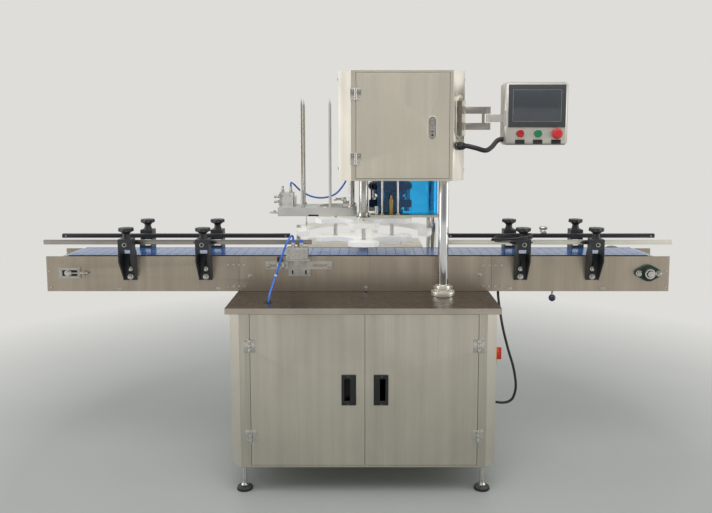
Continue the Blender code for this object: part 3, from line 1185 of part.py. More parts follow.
def build_magazine():
    """Lid magazine: plate with drop opening, stack rods, hanging posts and cylinder."""
    y = (DROP_Y - MAGAZINE_HALF_WIDTH, DROP_Y + MAGAZINE_HALF_WIDTH)
    corner = MAGAZINE_CORNER
    outline = [(MAGAZINE_X[0], y[1]), (MAGAZINE_X[0], y[0])]
    outline += arc((MAGAZINE_X[1] - corner, y[0] + corner), corner, -90, 0, 4)
    outline += arc((MAGAZINE_X[1] - corner, y[1] - corner), corner, 0, 90, 4)
    drop = circle((DROP_X, DROP_Y), CAN_RADIUS + DROP_CLEARANCE, 20)
    plate = slab([outline, drop], MAGAZINE_Z[0], MAGAZINE_Z[1])
    half = STACK_ROD_SPACING / 2
    floor = MAGAZINE_Z[1]
    tip = [(0, STACK_ROD_TOP_Z), (STACK_ROD_RADIUS, STACK_ROD_TOP_Z - STACK_ROD_TIP)]
    footed = tip + [(STACK_ROD_RADIUS, floor + STACK_FOOT_HEIGHT),
                    (STACK_FOOT_RADIUS, floor + STACK_FOOT_HEIGHT),
                    (STACK_FOOT_RADIUS, floor - JOIN_DEPTH), (0, floor - JOIN_DEPTH)]
    plain = tip + [(STACK_ROD_RADIUS, floor - JOIN_DEPTH), (0, floor - JOIN_DEPTH)]
    plate = join(plate, turned(footed, (STACK_X - half, DROP_Y - half), 8))
    plate = join(plate, turned(footed, (STACK_X - half, DROP_Y + half), 8))
    plate = join(plate, turned(plain, (STACK_INNER_X, DROP_Y - STACK_INNER_REACH), 8))
    for side in (-1, 1):
        post_y = DROP_Y + side * MAGAZINE_POST_SPACING / 2
        plate = join(plate, rod((MAGAZINE_POST_X, post_y, floor - JOIN_DEPTH),
                                (MAGAZINE_POST_X, post_y, HEAD_Z[0] - GAP), MAGAZINE_POST_RADIUS, 10))
    size = PUSHER_CYLINDER
    x = (MAGAZINE_X[0] + DROP_CLEARANCE, MAGAZINE_X[0] + DROP_CLEARANCE + size)
    block = box(x, (DROP_Y - size / 2, DROP_Y + size / 2), (floor - JOIN_DEPTH, floor + size))
    for offset in (-PUSHER_FITTING_SHIFT[0], PUSHER_FITTING_SHIFT[0]):
        place = (sum(x) / 2 + offset, DROP_Y - PUSHER_FITTING_SHIFT[1])
        cylinder_top = floor + size
        fitting = [(0, cylinder_top + PUSHER_FITTING_HEIGHT[1]),
                   (PUSHER_FITTING_RADIUS[0], cylinder_top + PUSHER_FITTING_HEIGHT[1]),
                   (PUSHER_FITTING_RADIUS[1], cylinder_top + PUSHER_FITTING_HEIGHT[0]),
                   (PUSHER_FITTING_RADIUS[1], cylinder_top - JOIN_DEPTH), (0, cylinder_top - JOIN_DEPTH)]
        block = join(block, turned(fitting, place, 8))
    middle_z = floor + size / 2
    block = cut(block, rod((x[1] - PUSHER_BORE_LENGTH, DROP_Y, middle_z),
                           (x[1] + JOIN_DEPTH, DROP_Y, middle_z), PUSHER_ROD_RADIUS + RUNNING_GAP, 8))
    plate = join(plate, block)
    wing = box((MAGAZINE_X[0] - WING_REACH, MAGAZINE_X[0] + 2 * JOIN_DEPTH),
               (DROP_Y - WING_HALF_WIDTH, DROP_Y + WING_HALF_WIDTH), WING_Z)
    plate = join(plate, wing)
    finish(plate, "lid_magazine", WHITE_PLASTIC)
    rod_start = x[1] - PUSHER_ROD_LENGTH
    pusher_x = x[1] + PUSHER_PLATE_GAP
    pusher = rod((rod_start, DROP_Y, middle_z), (pusher_x + JOIN_DEPTH, DROP_Y, middle_z),
                 PUSHER_ROD_RADIUS, 8)
    pusher = join(pusher, box((pusher_x, pusher_x + PUSHER_PLATE),
                              (DROP_Y - size / 2, DROP_Y + size / 2), (floor + GAP, floor + size * 0.72)))
    finish(pusher, "lid_pusher", BRIGHT_STEEL, origin=(rod_start, DROP_Y, middle_z))


def build_guard():
    """Blue guard sheet before the seaming head and the shelf that it stands on."""
    panel = box(GUARD_X, (GUARD_Y, GUARD_Y + GUARD_THICKNESS), (SHELF_Z[1] + GAP, HEAD_Z[0] - GAP))
    finish(panel, "guard_panel", BLUE_GUARD, smooth=False)
    shelf = box(SHELF_X, SHELF_Y, SHELF_Z)
    for x in HANGER_PLACES:
        shelf = join(shelf, rod((x, HANGER_Y, SHELF_Z[0] + JOIN_DEPTH), (x, HANGER_Y, HEAD_Z[0] - GAP),
                                HANGER_RADIUS, 6))
    low = SHELF_Z[1] - JOIN_DEPTH
    probe = [(0, PROBE_TOP_Z), (PROBE_RADIUS * 0.5, PROBE_TOP_Z), (PROBE_RADIUS * 0.6, PROBE_TOP_Z - 0.014),
             (PROBE_RADIUS, PROBE_TOP_Z - 0.016), (PROBE_RADIUS, low), (0, low)]
    shelf = join(shelf, turned(probe, (PROBE_X, HANGER_Y), 8))
    shelf = join(shelf, rod((STUD_X, HANGER_Y, low), (STUD_X, HANGER_Y, STUD_TOP_Z), STUD_RADIUS, 8))
    finish(shelf, "guard_shelf", STEEL)


def build_arm():
    """Fork arm: two flat bars with a barrel at each end, tied by a strap."""
    arm = None
    for z in ARM_BAR_Z:
        low, high = z - ARM_BAR_HEIGHT / 2, z + ARM_BAR_HEIGHT / 2
        bar = box((ARM_AXIS_A[0], ARM_AXIS_B[0]),
                  (ARM_AXIS_A[1] - ARM_BAR_THICKNESS / 2, ARM_AXIS_A[1] + ARM_BAR_THICKNESS / 2), (low, high))
        for axis in (ARM_AXIS_A, ARM_AXIS_B):
            bar = join(bar, rod((*axis, low), (*axis, high), ARM_BARREL_RADIUS, 8))
        arm = bar if arm is None else join(arm, bar)
    strap_x = ARM_AXIS_B[0] - 2.4 * ARM_BARREL_RADIUS
    strap = box((strap_x - 0.005, strap_x + 0.005),
                (ARM_AXIS_A[1] - ARM_BAR_THICKNESS / 2, ARM_AXIS_A[1] + ARM_BAR_THICKNESS / 2),
                (ARM_BAR_Z[0], ARM_BAR_Z[1]))
    finish(join(arm, strap), "control_arm", BRIGHT_STEEL, origin=(*ARM_AXIS_A, 0))


def build_control_box():
    """Control box with screen, button bezels and the link that hangs on the arm."""
    body = soften(box(CONTROL_X, CONTROL_Y, CONTROL_Z), CONTROL_EDGE)
    face = CONTROL_Y[0]
    body = join(body, box(SCREEN_X, (face - SCREEN_RAISE, face + SCREEN_RAISE), SCREEN_Z))
    body = cut(body, box(inset_limits(SCREEN_X, GLASS_MARGIN), (face - 2 * SCREEN_RAISE, face - SCREEN_RAISE / 2),
                         inset_limits(SCREEN_Z, GLASS_MARGIN * 0.9)))
    for x in (BUTTON_RED_X, BUTTON_GREEN_X, BUTTON_STOP_X):
        body = join(body, rod((x, face - BEZEL_RAISE, BUTTON_Z), (x, face + BEZEL_RAISE, BUTTON_Z),
                              BEZEL_RADIUS, 12))
        body = cut(body, rod((x, face - 2 * BEZEL_RAISE, BUTTON_Z),
                             (x, face + BUTTON_DEPTH + 0.006, BUTTON_Z), BUTTON_RADIUS + 2 * GAP, 12))
    gap = ARM_BAR_Z[1] - ARM_BAR_Z[0] - ARM_BAR_HEIGHT
    half = min(LINK_HEIGHT, gap) / 2 - RUNNING_GAP
    z = (sum(ARM_BAR_Z) / 2 - half, sum(ARM_BAR_Z) / 2 + half)
    link = rod((*ARM_AXIS_B, z[0]), (*ARM_AXIS_B, z[1]), ARM_BARREL_RADIUS, 8)
    link = join(link, box((ARM_AXIS_B[0], CONTROL_X[0] + 0.004),
                          (ARM_AXIS_B[1] - ARM_BAR_THICKNESS / 2, ARM_AXIS_B[1] + ARM_BAR_THICKNESS / 2), z))
    link = join(link, box((CONTROL_X[0] - 0.004, CONTROL_X[0] + 0.004),
                          (ARM_AXIS_B[1] - 0.016, ARM_AXIS_B[1] + 0.016), inset_limits(z, -0.014)))
    finish(join(body, link), "control_box", CREAM_PAINT, origin=(*ARM_AXIS_B, 0))


def build_buttons():
    """Two push buttons and the mushroom stop, each in its bore."""
    face = CONTROL_Y[0]
    for name, x, look in (("button_red", BUTTON_RED_X, RED_PLASTIC),
                          ("button_green", BUTTON_GREEN_X, GREEN_PLASTIC)):
        cap = rod((x, face - BEZEL_RAISE - BUTTON_REACH, BUTTON_Z), (x, face + BUTTON_DEPTH - 0.008, BUTTON_Z),
                  BUTTON_RADIUS, 12)
        finish(cap, name, look, origin=(x, face, BUTTON_Z))
    x = BUTTON_STOP_X
    tip = face - STOP_REACH
    stem = rod((x, tip + JOIN_DEPTH, BUTTON_Z), (x, face + BUTTON_DEPTH - 0.008, BUTTON_Z), BUTTON_RADIUS, 12)
    cap = rod((x, tip, BUTTON_Z), (x, tip + 0.014, BUTTON_Z), STOP_RADIUS * 0.8, 14, STOP_RADIUS)
    finish(join(stem, cap), "button_stop", RED_PLASTIC, origin=(x, face, BUTTON_Z))


def smooth_route(points, spacing):
    """Points a set distance apart along a Catmull-Rom curve through a route."""
    route = [Vector(point) for point in points]
    padded = [2 * route[0] - route[1]] + route + [2 * route[-1] - route[-2]]
    dense = []
    for index in range(1, len(padded) - 2):
        before, start, end, after = padded[index - 1:index + 3]
        for step in range(12):
            t = step / 12
            dense.append(0.5 * (2 * start + (end - before) * t
                                + (2 * before - 5 * start + 4 * end - after) * t * t
                                + (3 * start - before - 3 * end + after) * t ** 3))
    dense.append(route[-1])
    lengths = [0.0]
    for first, second in zip(dense, dense[1:]):
        lengths.append(lengths[-1] + (second - first).length)
    count = max(int(lengths[-1] / spacing), 2)
    even = []
    index = 0
    for step in range(count + 1):
        target = lengths[-1] * step / count
        while index < len(dense) - 2 and lengths[index + 1] < target:
            index += 1
        span = lengths[index + 1] - lengths[index]
        share = (target - lengths[index]) / span if span else 0
        even.append(dense[index].lerp(dense[index + 1], share))
    stub = spacing * 0.1
    first = dense[0] + (dense[1] - dense[0]).normalized() * stub
    last = dense[-1] + (dense[-2] - dense[-1]).normalized() * stub
    return [even[0], first] + even[1:-1] + [last, even[-1]]


def cord(name, points, radius, look):
    """Plain tube along a smooth route."""
    curve = bpy.data.curves.new(name, "CURVE")
    curve.dimensions = "3D"
    curve.bevel_depth = radius
    curve.bevel_resolution = 1
    curve.use_fill_caps = True
    route = smooth_route(points, radius * CORD_RING_SPACING)
    spline = curve.splines.new("POLY")
    spline.points.add(len(route) - 1)
    for point, place in zip(spline.points, route):
        point.co = (*place, 1)
    finish(bake(add_object(name, curve), turn_outward=True), name, look)


CONTROL_CABLE_ROUTE = [(0.3979, -0.2499, 1.288), (0.4091, -0.2611, 1.288), (0.438, -0.272, 1.281),
                       (0.475, -0.266, 1.272), (0.500, -0.250, 1.284), (0.519, -0.238, 1.304),
                       (0.532, -0.236, 1.312), (0.5446, -0.236, 1.312)]
LOWER_HOSE_ROUTE = [(-0.2515, -0.168, 0.9240), (-0.2515, -0.168, 0.932), (-0.256, -0.182, 0.940),
                    (-0.270, -0.204, 0.920), (-0.287, -0.220, 0.875), (-0.304, -0.234, 0.820),
                    (-0.318, -0.257, 0.775), (-0.329, -0.290, 0.735), (-0.332, -0.300, 0.712),
                    (-0.332, -0.300, 0.695)]
UPPER_HOSE_ROUTE = [(-0.298, 0.2067, 1.1045), (-0.298, 0.2067, 1.112), (-0.297, 0.216, 1.119),
                    (-0.288, 0.252, 1.108), (-0.262, 0.294, 1.076), (-0.215, 0.303, 1.050),
                    (-0.160, 0.303, 1.044), (-0.105, 0.303, 1.062), (-0.066, 0.302, 1.108),
                    (-0.052, 0.301, 1.145), (-0.052, 0.301, 1.1575)]
MOTOR_CABLE_ROUTE = [(0.565, -0.080, 0.7075), (0.562, -0.110, 0.680), (0.560, -0.160, 0.640),
                     (0.566, -0.195, 0.580), (0.586, -0.200, 0.500), (0.610, -0.200, 0.420),
                     (0.620, -0.200, 0.345), (0.606, -0.200, 0.295), (0.575, -0.200, 0.281),
                     (0.545, -0.200, 0.283), (0.5267, -0.200, 0.283)]


def build_cords():
    """Free cables and air hoses, and the coil of sensor cable on a bracket."""
    cord("control_cable", CONTROL_CABLE_ROUTE, CONTROL_CABLE_RADIUS, BLACK_PLASTIC)
    cord("air_hose_lower", LOWER_HOSE_ROUTE, HOSE_RADIUS, HOSE_BLUE)
    cord("air_hose_upper", UPPER_HOSE_ROUTE, HOSE_RADIUS, HOSE_BLUE)
    cord("motor_cable", MOTOR_CABLE_ROUTE, MOTOR_CABLE_RADIUS, BLACK_PLASTIC)
    build_sensor_coil()


def build_sensor_coil():
    """Coil of spare sensor cable hooked round a knob's stem, on the block and the rail."""
    profile = []
    for step in range(7):
        angle = math.radians(90 - 60 * step)
        profile.append((SENSOR_COIL_RADIUS + SENSOR_COIL_THICKNESS * math.cos(angle),
                        SENSOR_COIL_THICKNESS * math.sin(angle)))
    coil = turned(profile, (0, 0), 14)
    block_y = CONVEYOR_FRONT_Y - GAP - BRACKET_BLOCK_INNER
    stem = Vector((BRACKET_PLACES[2], CONVEYOR_FRONT_Y - GAP - (BRACKET_BLOCK_INNER + BRACKET_REACH) / 2))
    hook = SENSOR_COIL_RADIUS - SENSOR_COIL_THICKNESS - KNOB_STEM_RADIUS - RUNNING_GAP
    centre_y = LANE_FRONT_Y - SENSOR_COIL_RADIUS - SENSOR_COIL_THICKNESS
    centre = Vector((stem.x - math.sqrt(hook ** 2 - (stem.y - centre_y) ** 2), centre_y))
    on_block = Vector((math.sqrt(SENSOR_COIL_RADIUS ** 2 - (block_y - centre.y) ** 2), block_y - centre.y, 0))
    high = Vector((centre.x, centre.y, BRACKET_BLOCK_Z[1] + SENSOR_COIL_THICKNESS + GAP)) + on_block
    low = Vector((centre.x, centre.y + SENSOR_COIL_RADIUS,
                  RAIL_Z + RAIL_HEIGHT / 2 + SENSOR_COIL_THICKNESS + SENSOR_COIL_RAIL_RISE))
    across = (low - high).xy
    lean = Matrix.Rotation(math.atan2(high.z - low.z, across.length), 4, Vector((-across.y, across.x, 0)))
    turn = Matrix.Rotation(math.atan2(stem.y - centre.y, stem.x - centre.x), 4, "Z")
    coil.data.transform(Matrix.Translation(high - lean @ on_block) @ lean @ turn)
    finish(coil, "sensor_cable", BLACK_PLASTIC)


def main():
    """Build every piece of the machine."""
    clear_scene()
    build_cabinet()
    build_table_top()
    build_feet()
    build_cabinet_doors()
    build_pulls()
    build_switch()
    build_panels()
    build_bed()
    build_chain()
    build_shafts()
    build_bearing()
    build_motor()
    build_rails()
    build_brackets()
    build_stopper()
    build_star()
    build_transfer_plate()
    build_star_guide()
    build_columns()
    build_head_housing()
    build_head_door()
    build_seamer()
    build_magazine()
    build_guard()
    build_arm()
    build_control_box()
    build_buttons()
    build_cords()


main()
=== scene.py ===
"""Can sealing machine: finishes, fine pieces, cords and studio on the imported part, in metres."""

import logging
import math
from dataclasses import dataclass, field
from enum import Enum
from typing import Any, Iterable, Sequence

import bmesh
import bpy
from mathutils import Matrix, Vector


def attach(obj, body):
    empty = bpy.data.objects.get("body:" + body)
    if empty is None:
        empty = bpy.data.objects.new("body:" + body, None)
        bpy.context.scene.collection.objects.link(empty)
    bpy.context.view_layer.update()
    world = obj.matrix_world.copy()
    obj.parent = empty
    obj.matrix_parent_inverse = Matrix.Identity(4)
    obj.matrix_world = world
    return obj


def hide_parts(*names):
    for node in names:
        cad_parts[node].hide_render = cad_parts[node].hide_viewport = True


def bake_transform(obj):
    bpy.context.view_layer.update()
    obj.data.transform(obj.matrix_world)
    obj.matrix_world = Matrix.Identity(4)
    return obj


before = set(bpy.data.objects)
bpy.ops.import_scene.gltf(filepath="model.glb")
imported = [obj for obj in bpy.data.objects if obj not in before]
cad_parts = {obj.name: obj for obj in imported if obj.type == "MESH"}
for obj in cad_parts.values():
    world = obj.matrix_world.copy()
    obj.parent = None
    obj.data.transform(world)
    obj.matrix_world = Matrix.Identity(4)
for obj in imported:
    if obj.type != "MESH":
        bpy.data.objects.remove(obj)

LOG = logging.getLogger("can_sealing_machine")
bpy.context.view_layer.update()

Point = tuple[float, float, float]
Span = tuple[float, float]
Colour = tuple[float, float, float, float]

CONVEYOR_FRONT_Y = -0.120
CONVEYOR_BACK_Y = 0.078
HEAD_FLOOR_Z = 1.158
UNDER_HEAD_Z = 1.157
ON_TABLE_Z = 0.7085
COLUMN_FOOT_Z = 0.7083
SHELF_TOP_Z = 0.9935
WELD = 1e-6
LEAF_FRONT = 0.0026
LEAF_BACK = 0.0004
BARREL_RADIUS = 0.0054
BARREL_GAP = 0.0008
STAR_AXIS = (0.022, 0.100)
SEAMER_AXIS = (0.138673, 0.216673)
BRACKET_PLACES = (-0.903, -0.604, 0.645, 0.930)


class Body(Enum):
    """The moving bodies that pieces ride on."""

    FRAME = "frame_body"
    DOOR_LEFT = "door_left_body"
    DOOR_RIGHT = "door_right_body"
    SWITCH = "switch_body"
    DRIVE = "drive_body"
    RAIL_FRONT_LEFT = "rail_front_left_body"
    RAIL_FRONT_RIGHT = "rail_front_right_body"
    RAIL_BACK_LEFT = "rail_back_left_body"
    RAIL_BACK_RIGHT = "rail_back_right_body"
    STAR = "star_body"
    SEAMER = "seamer_body"
    PUSHER = "pusher_body"
    HEAD_DOOR = "head_door_body"
    LATCH = "latch_body"
    ARM = "arm_body"
    BOX = "box_body"
    BUTTON_RED = "button_red_body"
    BUTTON_GREEN = "button_green_body"
    BUTTON_STOP = "button_stop_body"


class Axis(Enum):
    """A direction that a turned or drilled shape points in."""

    RIGHT = (1.0, 0.0, 0.0)
    LEFT = (-1.0, 0.0, 0.0)
    FRONT = (0.0, -1.0, 0.0)
    BACK = (0.0, 1.0, 0.0)
    UP = (0.0, 0.0, 1.0)
    CORNER = (0.7071068, -0.7071068, 0.0)
    CORNER_LEFT = (-0.7071068, -0.7071068, 0.0)
    HOSE = (-0.2672, -0.4390, -0.8578)


class ScrewHead(Enum):
    """Kinds of fastener head."""

    HEX = 6
    SOCKET = 20
    PAN = 16


def tone(red: int, green: int, blue: int) -> Colour:
    """Turn a colour written in screen values into the linear colour that shaders take.

    Args:
        red: Red part, 0 to 255.
        green: Green part, 0 to 255.
        blue: Blue part, 0 to 255.

    Returns:
        The linear colour with full alpha.
    """
    parts = []
    for part in (red, green, blue):
        value = part / 255
        parts.append(value / 12.92 if value <= 0.04045 else ((value + 0.055) / 1.055) ** 2.4)
    return (parts[0], parts[1], parts[2], 1.0)


class Wiring:
    """Adds shader nodes to one tree and joins their sockets."""

    def __init__(self, tree: bpy.types.NodeTree) -> None:
        """Keep the tree that nodes go into.

        Args:
            tree: Node tree of a material, group or world.
        """
        self.tree = tree

    def add(self, kind: str, **settings: Any) -> bpy.types.Node:
        """Add a node.

        Args:
            kind: Node type.
            **settings: Properties of the node.

        Returns:
            The new node.
        """
        node = self.tree.nodes.new(kind)
        for key, value in settings.items():
            setattr(node, key, value)
        return node

    def join(self, source: bpy.types.NodeSocket, target: bpy.types.NodeSocket) -> None:
        """Link an output to an input."""
        self.tree.links.new(source, target)

    def mix(self, factor: Any, first: Any, second: Any) -> bpy.types.NodeSocket:
        """Mix two colours.

        Args:
            factor: Socket or number.
            first: Colour or socket at factor 0.
            second: Colour or socket at factor 1.

        Returns:
            The mixed colour's socket.
        """
        node = self.add("ShaderNodeMix", data_type="RGBA")
        for index, value in ((0, factor), (6, first), (7, second)):
            self.feed(value, node.inputs[index])
        return node.outputs[2]

    def maths(self, operation: str, first: Any, second: Any = 0.0,
              clamp: bool = False) -> bpy.types.NodeSocket:
        """Add one Math node.

        Args:
            operation: Math operation.
            first: Socket or number.
            second: Socket or number.
            clamp: Keep the result from 0 to 1.

        Returns:
            The result's socket.
        """
        node = self.add("ShaderNodeMath", operation=operation, use_clamp=clamp)
        self.feed(first, node.inputs[0])
        self.feed(second, node.inputs[1])
        return node.outputs[0]

    def spread(self, value: Any, source: Span, target: tuple[Any, Any]) -> bpy.types.NodeSocket:
        """Map a value from one range to another, clamped.

        Args:
            value: Socket to map.
            source: Range that is read.
            target: Range that is given, as numbers or sockets.

        Returns:
            The mapped value's socket.
        """
        node = self.add("ShaderNodeMapRange")
        self.feed(value, node.inputs["Value"])
        node.inputs["From Min"].default_value = source[0]
        node.inputs["From Max"].default_value = source[1]
        self.feed(target[0], node.inputs["To Min"])
        self.feed(target[1], node.inputs["To Max"])
        return node.outputs["Result"]

    def feed(self, value: Any, target: bpy.types.NodeSocket) -> None:
        """Link a socket to an input, or set the input's value."""
        if isinstance(value, bpy.types.NodeSocket):
            self.join(value, target)
        else:
            target.default_value = value


class SharedEffects:
    """Node groups that many finishes place with their own values, each built once."""

    def __init__(self) -> None:
        """Build the groups."""
        self.grain = self.build_grain()
        self.smudge = self.build_smudge()
        self.fleck = self.build_fleck()
        self.dust = self.build_dust()

    def open_group(self, name: str, inputs: dict[str, str],
                   outputs: Sequence[str]) -> tuple[Wiring, Any, Any]:
        """Start a group with named sockets.

        Args:
            name: Group name.
            inputs: Socket name to socket type.
            outputs: Names of the values given out.

        Returns:
            The wiring, the input node and the output node.
        """
        tree = bpy.data.node_groups.new(name, "ShaderNodeTree")
        for socket, kind in inputs.items():
            tree.interface.new_socket(name=socket, in_out="INPUT", socket_type=kind)
        for socket in outputs:
            tree.interface.new_socket(name=socket, in_out="OUTPUT", socket_type="NodeSocketFloat")
        wiring = Wiring(tree)
        return wiring, wiring.add("NodeGroupInput"), wiring.add("NodeGroupOutput")

    def build_grain(self) -> bpy.types.NodeTree:
        """Long brushed streaks: noise stretched along the brushing direction."""
        wiring, entry, result = self.open_group("brushed_grain",
                                                {"Place": "NodeSocketVector",
                                                 "Stretch": "NodeSocketVector"}, ("Streaks", "Bands"))
        product = wiring.add("ShaderNodeVectorMath", operation="MULTIPLY")
        wiring.join(entry.outputs["Place"], product.inputs[0])
        wiring.join(entry.outputs["Stretch"], product.inputs[1])
        fine = wiring.add("ShaderNodeTexNoise")
        fine.inputs["Scale"].default_value = 1.0
        fine.inputs["Detail"].default_value = 3.0
        fine.inputs["Roughness"].default_value = 0.62
        wiring.join(product.outputs[0], fine.inputs["Vector"])
        broad = wiring.add("ShaderNodeTexNoise")
        broad.inputs["Scale"].default_value = 0.045
        broad.inputs["Detail"].default_value = 2.0
        wiring.join(product.outputs[0], broad.inputs["Vector"])
        wiring.join(wiring.spread(fine.outputs["Fac"], (0.3, 0.7), (0.0, 1.0)), result.inputs["Streaks"])
        wiring.join(wiring.spread(broad.outputs["Fac"], (0.32, 0.68), (0.0, 1.0)), result.inputs["Bands"])
        return wiring.tree

    def build_smudge(self) -> bpy.types.NodeTree:
        """Soft handling smudges and wiped patches."""
        wiring, entry, result = self.open_group("smudges",
                                                {"Place": "NodeSocketVector", "Size": "NodeSocketFloat",
                                                 "Amount": "NodeSocketFloat"}, ("Mask",))
        noise = wiring.add("ShaderNodeTexNoise")
        noise.inputs["Detail"].default_value = 4.0
        noise.inputs["Distortion"].default_value = 0.7
        wiring.join(entry.outputs["Place"], noise.inputs["Vector"])
        wiring.join(entry.outputs["Size"], noise.inputs["Scale"])
        shaped = wiring.spread(noise.outputs["Fac"], (0.46, 0.70), (0.0, 1.0))
        wiring.join(wiring.maths("MULTIPLY", shaped, entry.outputs["Amount"]), result.inputs["Mask"])
        return wiring.tree

    def build_fleck(self) -> bpy.types.NodeTree:
        """Fine even texture of moulded plastic, paint or casting."""
        wiring, entry, result = self.open_group("fine_texture",
                                                {"Place": "NodeSocketVector", "Size": "NodeSocketFloat"},
                                                ("Height", "Pits"))
        noise = wiring.add("ShaderNodeTexNoise")
        noise.inputs["Detail"].default_value = 2.0
        wiring.join(entry.outputs["Place"], noise.inputs["Vector"])
        wiring.join(entry.outputs["Size"], noise.inputs["Scale"])
        wiring.join(noise.outputs["Fac"], result.inputs["Height"])
        wiring.join(wiring.spread(noise.outputs["Fac"], (0.56, 0.70), (0.0, 1.0)), result.inputs["Pits"])
        return wiring.tree

    def build_dust(self) -> bpy.types.NodeTree:
        """Thin settled dust on faces that look up."""
        wiring, entry, result = self.open_group("settled_dust",
                                                {"Place": "NodeSocketVector", "Amount": "NodeSocketFloat"},
                                                ("Mask",))
        parts = wiring.add("ShaderNodeSeparateXYZ")
        wiring.join(wiring.add("ShaderNodeNewGeometry").outputs["Normal"], parts.inputs[0])
        upward = wiring.spread(parts.outputs["Z"], (0.55, 0.95), (0.0, 1.0))
        noise = wiring.add("ShaderNodeTexNoise")
        noise.inputs["Scale"].default_value = 34.0
        noise.inputs["Detail"].default_value = 5.0
        wiring.join(entry.outputs["Place"], noise.inputs["Vector"])
        patchy = wiring.spread(noise.outputs["Fac"], (0.40, 0.66), (0.15, 1.0))
        settled = wiring.maths("MULTIPLY", upward, patchy)
        wiring.join(wiring.maths("MULTIPLY", settled, entry.outputs["Amount"]), result.inputs["Mask"])
        return wiring.tree


EFFECTS = SharedEffects()


def open_material(
        name: str) -> tuple[bpy.types.Material, Wiring, bpy.types.Node, bpy.types.NodeSocket]:
    """Start a material.

    Args:
        name: Name of the material.

    Returns:
        The material, its wiring, its shader and the socket of the place on the object.
    """
    made = bpy.data.materials.new(name)
    made.use_nodes = True
    wiring = Wiring(made.node_tree)
    place = wiring.add("ShaderNodeTexCoord").outputs["Object"]
    return made, wiring, made.node_tree.nodes["Principled BSDF"], place


@dataclass(frozen=True)
class Finish:
    """An opaque finish: two tones of grain, smudges and dust, with roughness and bump that follow, and an
    optional painted glow.
    """

    name: str
    colour: Colour
    shade: Colour
    metallic: float = 0.0
    roughness: float = 0.45
    variation: float = 0.10
    stretch: Point = (60.0, 60.0, 60.0)
    bands: float = 0.0
    smudge_size: float = 5.0
    smudge: float = 0.3
    dust: float = 0.12
    texture_size: float = 900.0
    bump: float = 0.06
    coat: float = 0.0
    # Painted light: strength of an emission of the surface's own colour that lifts its shade, though the
    # piece is no lamp.
    painted_glow: float = 0.0

    def group(self, wiring: Wiring, tree: bpy.types.NodeTree, place: Any, **values: Any) -> bpy.types.Node:
        """Place a shared group in the material.

        Args:
            wiring: Wiring of the material.
            tree: Group to place.
            place: Socket of the surface position.
            **values: Values of the group's inputs.

        Returns:
            The group node.
        """
        node = wiring.add("ShaderNodeGroup", node_tree=tree)
        wiring.join(place, node.inputs["Place"])
        for key, value in values.items():
            node.inputs[key].default_value = value
        return node

    def material(self) -> bpy.types.Material:
        """Build the material once and return it afterwards."""
        made = bpy.data.materials.get(self.name)
        if made is not None:
            return made
        made, wiring, shader, place = open_material(self.name)
        grain = self.group(wiring, EFFECTS.grain, place, Stretch=self.stretch)
        smudge = self.group(wiring, EFFECTS.smudge, place, Size=self.smudge_size, Amount=self.smudge)
        texture = self.group(wiring, EFFECTS.fleck, place, Size=self.texture_size)
        dust = self.group(wiring, EFFECTS.dust, place, Amount=self.dust)
        streaks = wiring.maths("MULTIPLY", grain.outputs["Streaks"], 1.0 - self.bands)
        toned = wiring.maths("ADD", streaks, wiring.maths("MULTIPLY", grain.outputs["Bands"], self.bands))
        dark = tuple(part * 0.72 for part in self.shade[:3]) + (1.0,)
        dusty = tone(196, 193, 186)
        colour = wiring.mix(toned, self.colour, self.shade)
        colour = wiring.mix(smudge.outputs["Mask"], colour, dark)
        colour = wiring.mix(dust.outputs["Mask"], colour, dusty)
        wiring.join(colour, shader.inputs["Base Color"])
        rough = wiring.spread(toned, (0.0, 1.0), (self.roughness - self.variation,
                                                  self.roughness + self.variation))
        rough = wiring.maths("ADD", rough, wiring.maths("MULTIPLY", smudge.outputs["Mask"], 0.16))
        rough = wiring.maths("ADD", rough, wiring.maths("MULTIPLY", dust.outputs["Mask"], 0.3), clamp=True)
        wiring.join(rough, shader.inputs["Roughness"])
        relief = wiring.add("ShaderNodeBump")
        relief.inputs["Strength"].default_value = self.bump
        relief.inputs["Distance"].default_value = 0.001
        height = wiring.maths("ADD", grain.outputs["Streaks"], texture.outputs["Height"])
        wiring.join(height, relief.inputs["Height"])
        wiring.join(relief.outputs["Normal"], shader.inputs["Normal"])
        shader.inputs["Metallic"].default_value = self.metallic
        shader.inputs["Coat Weight"].default_value = self.coat
        shader.inputs["Coat Roughness"].default_value = 0.08
        # Painted light: the finish gives out its own colour as emission, lifting its shade.
        if self.painted_glow:
            wiring.join(colour, shader.inputs["Emission Color"])
            shader.inputs["Emission Strength"].default_value = self.painted_glow
        return made


@dataclass(frozen=True)
class ClearFinish:
    """A clear or milky plastic or glass with fine scratches in its roughness."""

    name: str
    colour: Colour
    transmission: float = 1.0
    roughness: float = 0.04
    haze: float = 0.10
    alpha: float = 1.0

    def material(self) -> bpy.types.Material:
        """Build the material once and return it afterwards."""
        made = bpy.data.materials.get(self.name)
        if made is not None:
            return made
        made, wiring, shader, place = open_material(self.name)
        smudge = wiring.add("ShaderNodeGroup", node_tree=EFFECTS.smudge)
        wiring.join(place, smudge.inputs["Place"])
        smudge.inputs["Size"].default_value = 14.0
        smudge.inputs["Amount"].default_value = 1.0
        rough = wiring.spread(smudge.outputs["Mask"], (0.0, 1.0),
                              (self.roughness, self.roughness + self.haze))
        wiring.join(rough, shader.inputs["Roughness"])
        deeper = tuple(part * 0.88 for part in self.colour[:3]) + (1.0,)
        wiring.join(wiring.mix(smudge.outputs["Mask"], self.colour, deeper), shader.inputs["Base Color"])
        shader.inputs["Transmission Weight"].default_value = self.transmission
        shader.inputs["Alpha"].default_value = self.alpha
        shader.inputs["IOR"].default_value = 1.46
        return made


VERTICAL = (520.0, 520.0, 5.0)
ALONG = (5.0, 520.0, 520.0)
EVEN = (240.0, 240.0, 240.0)

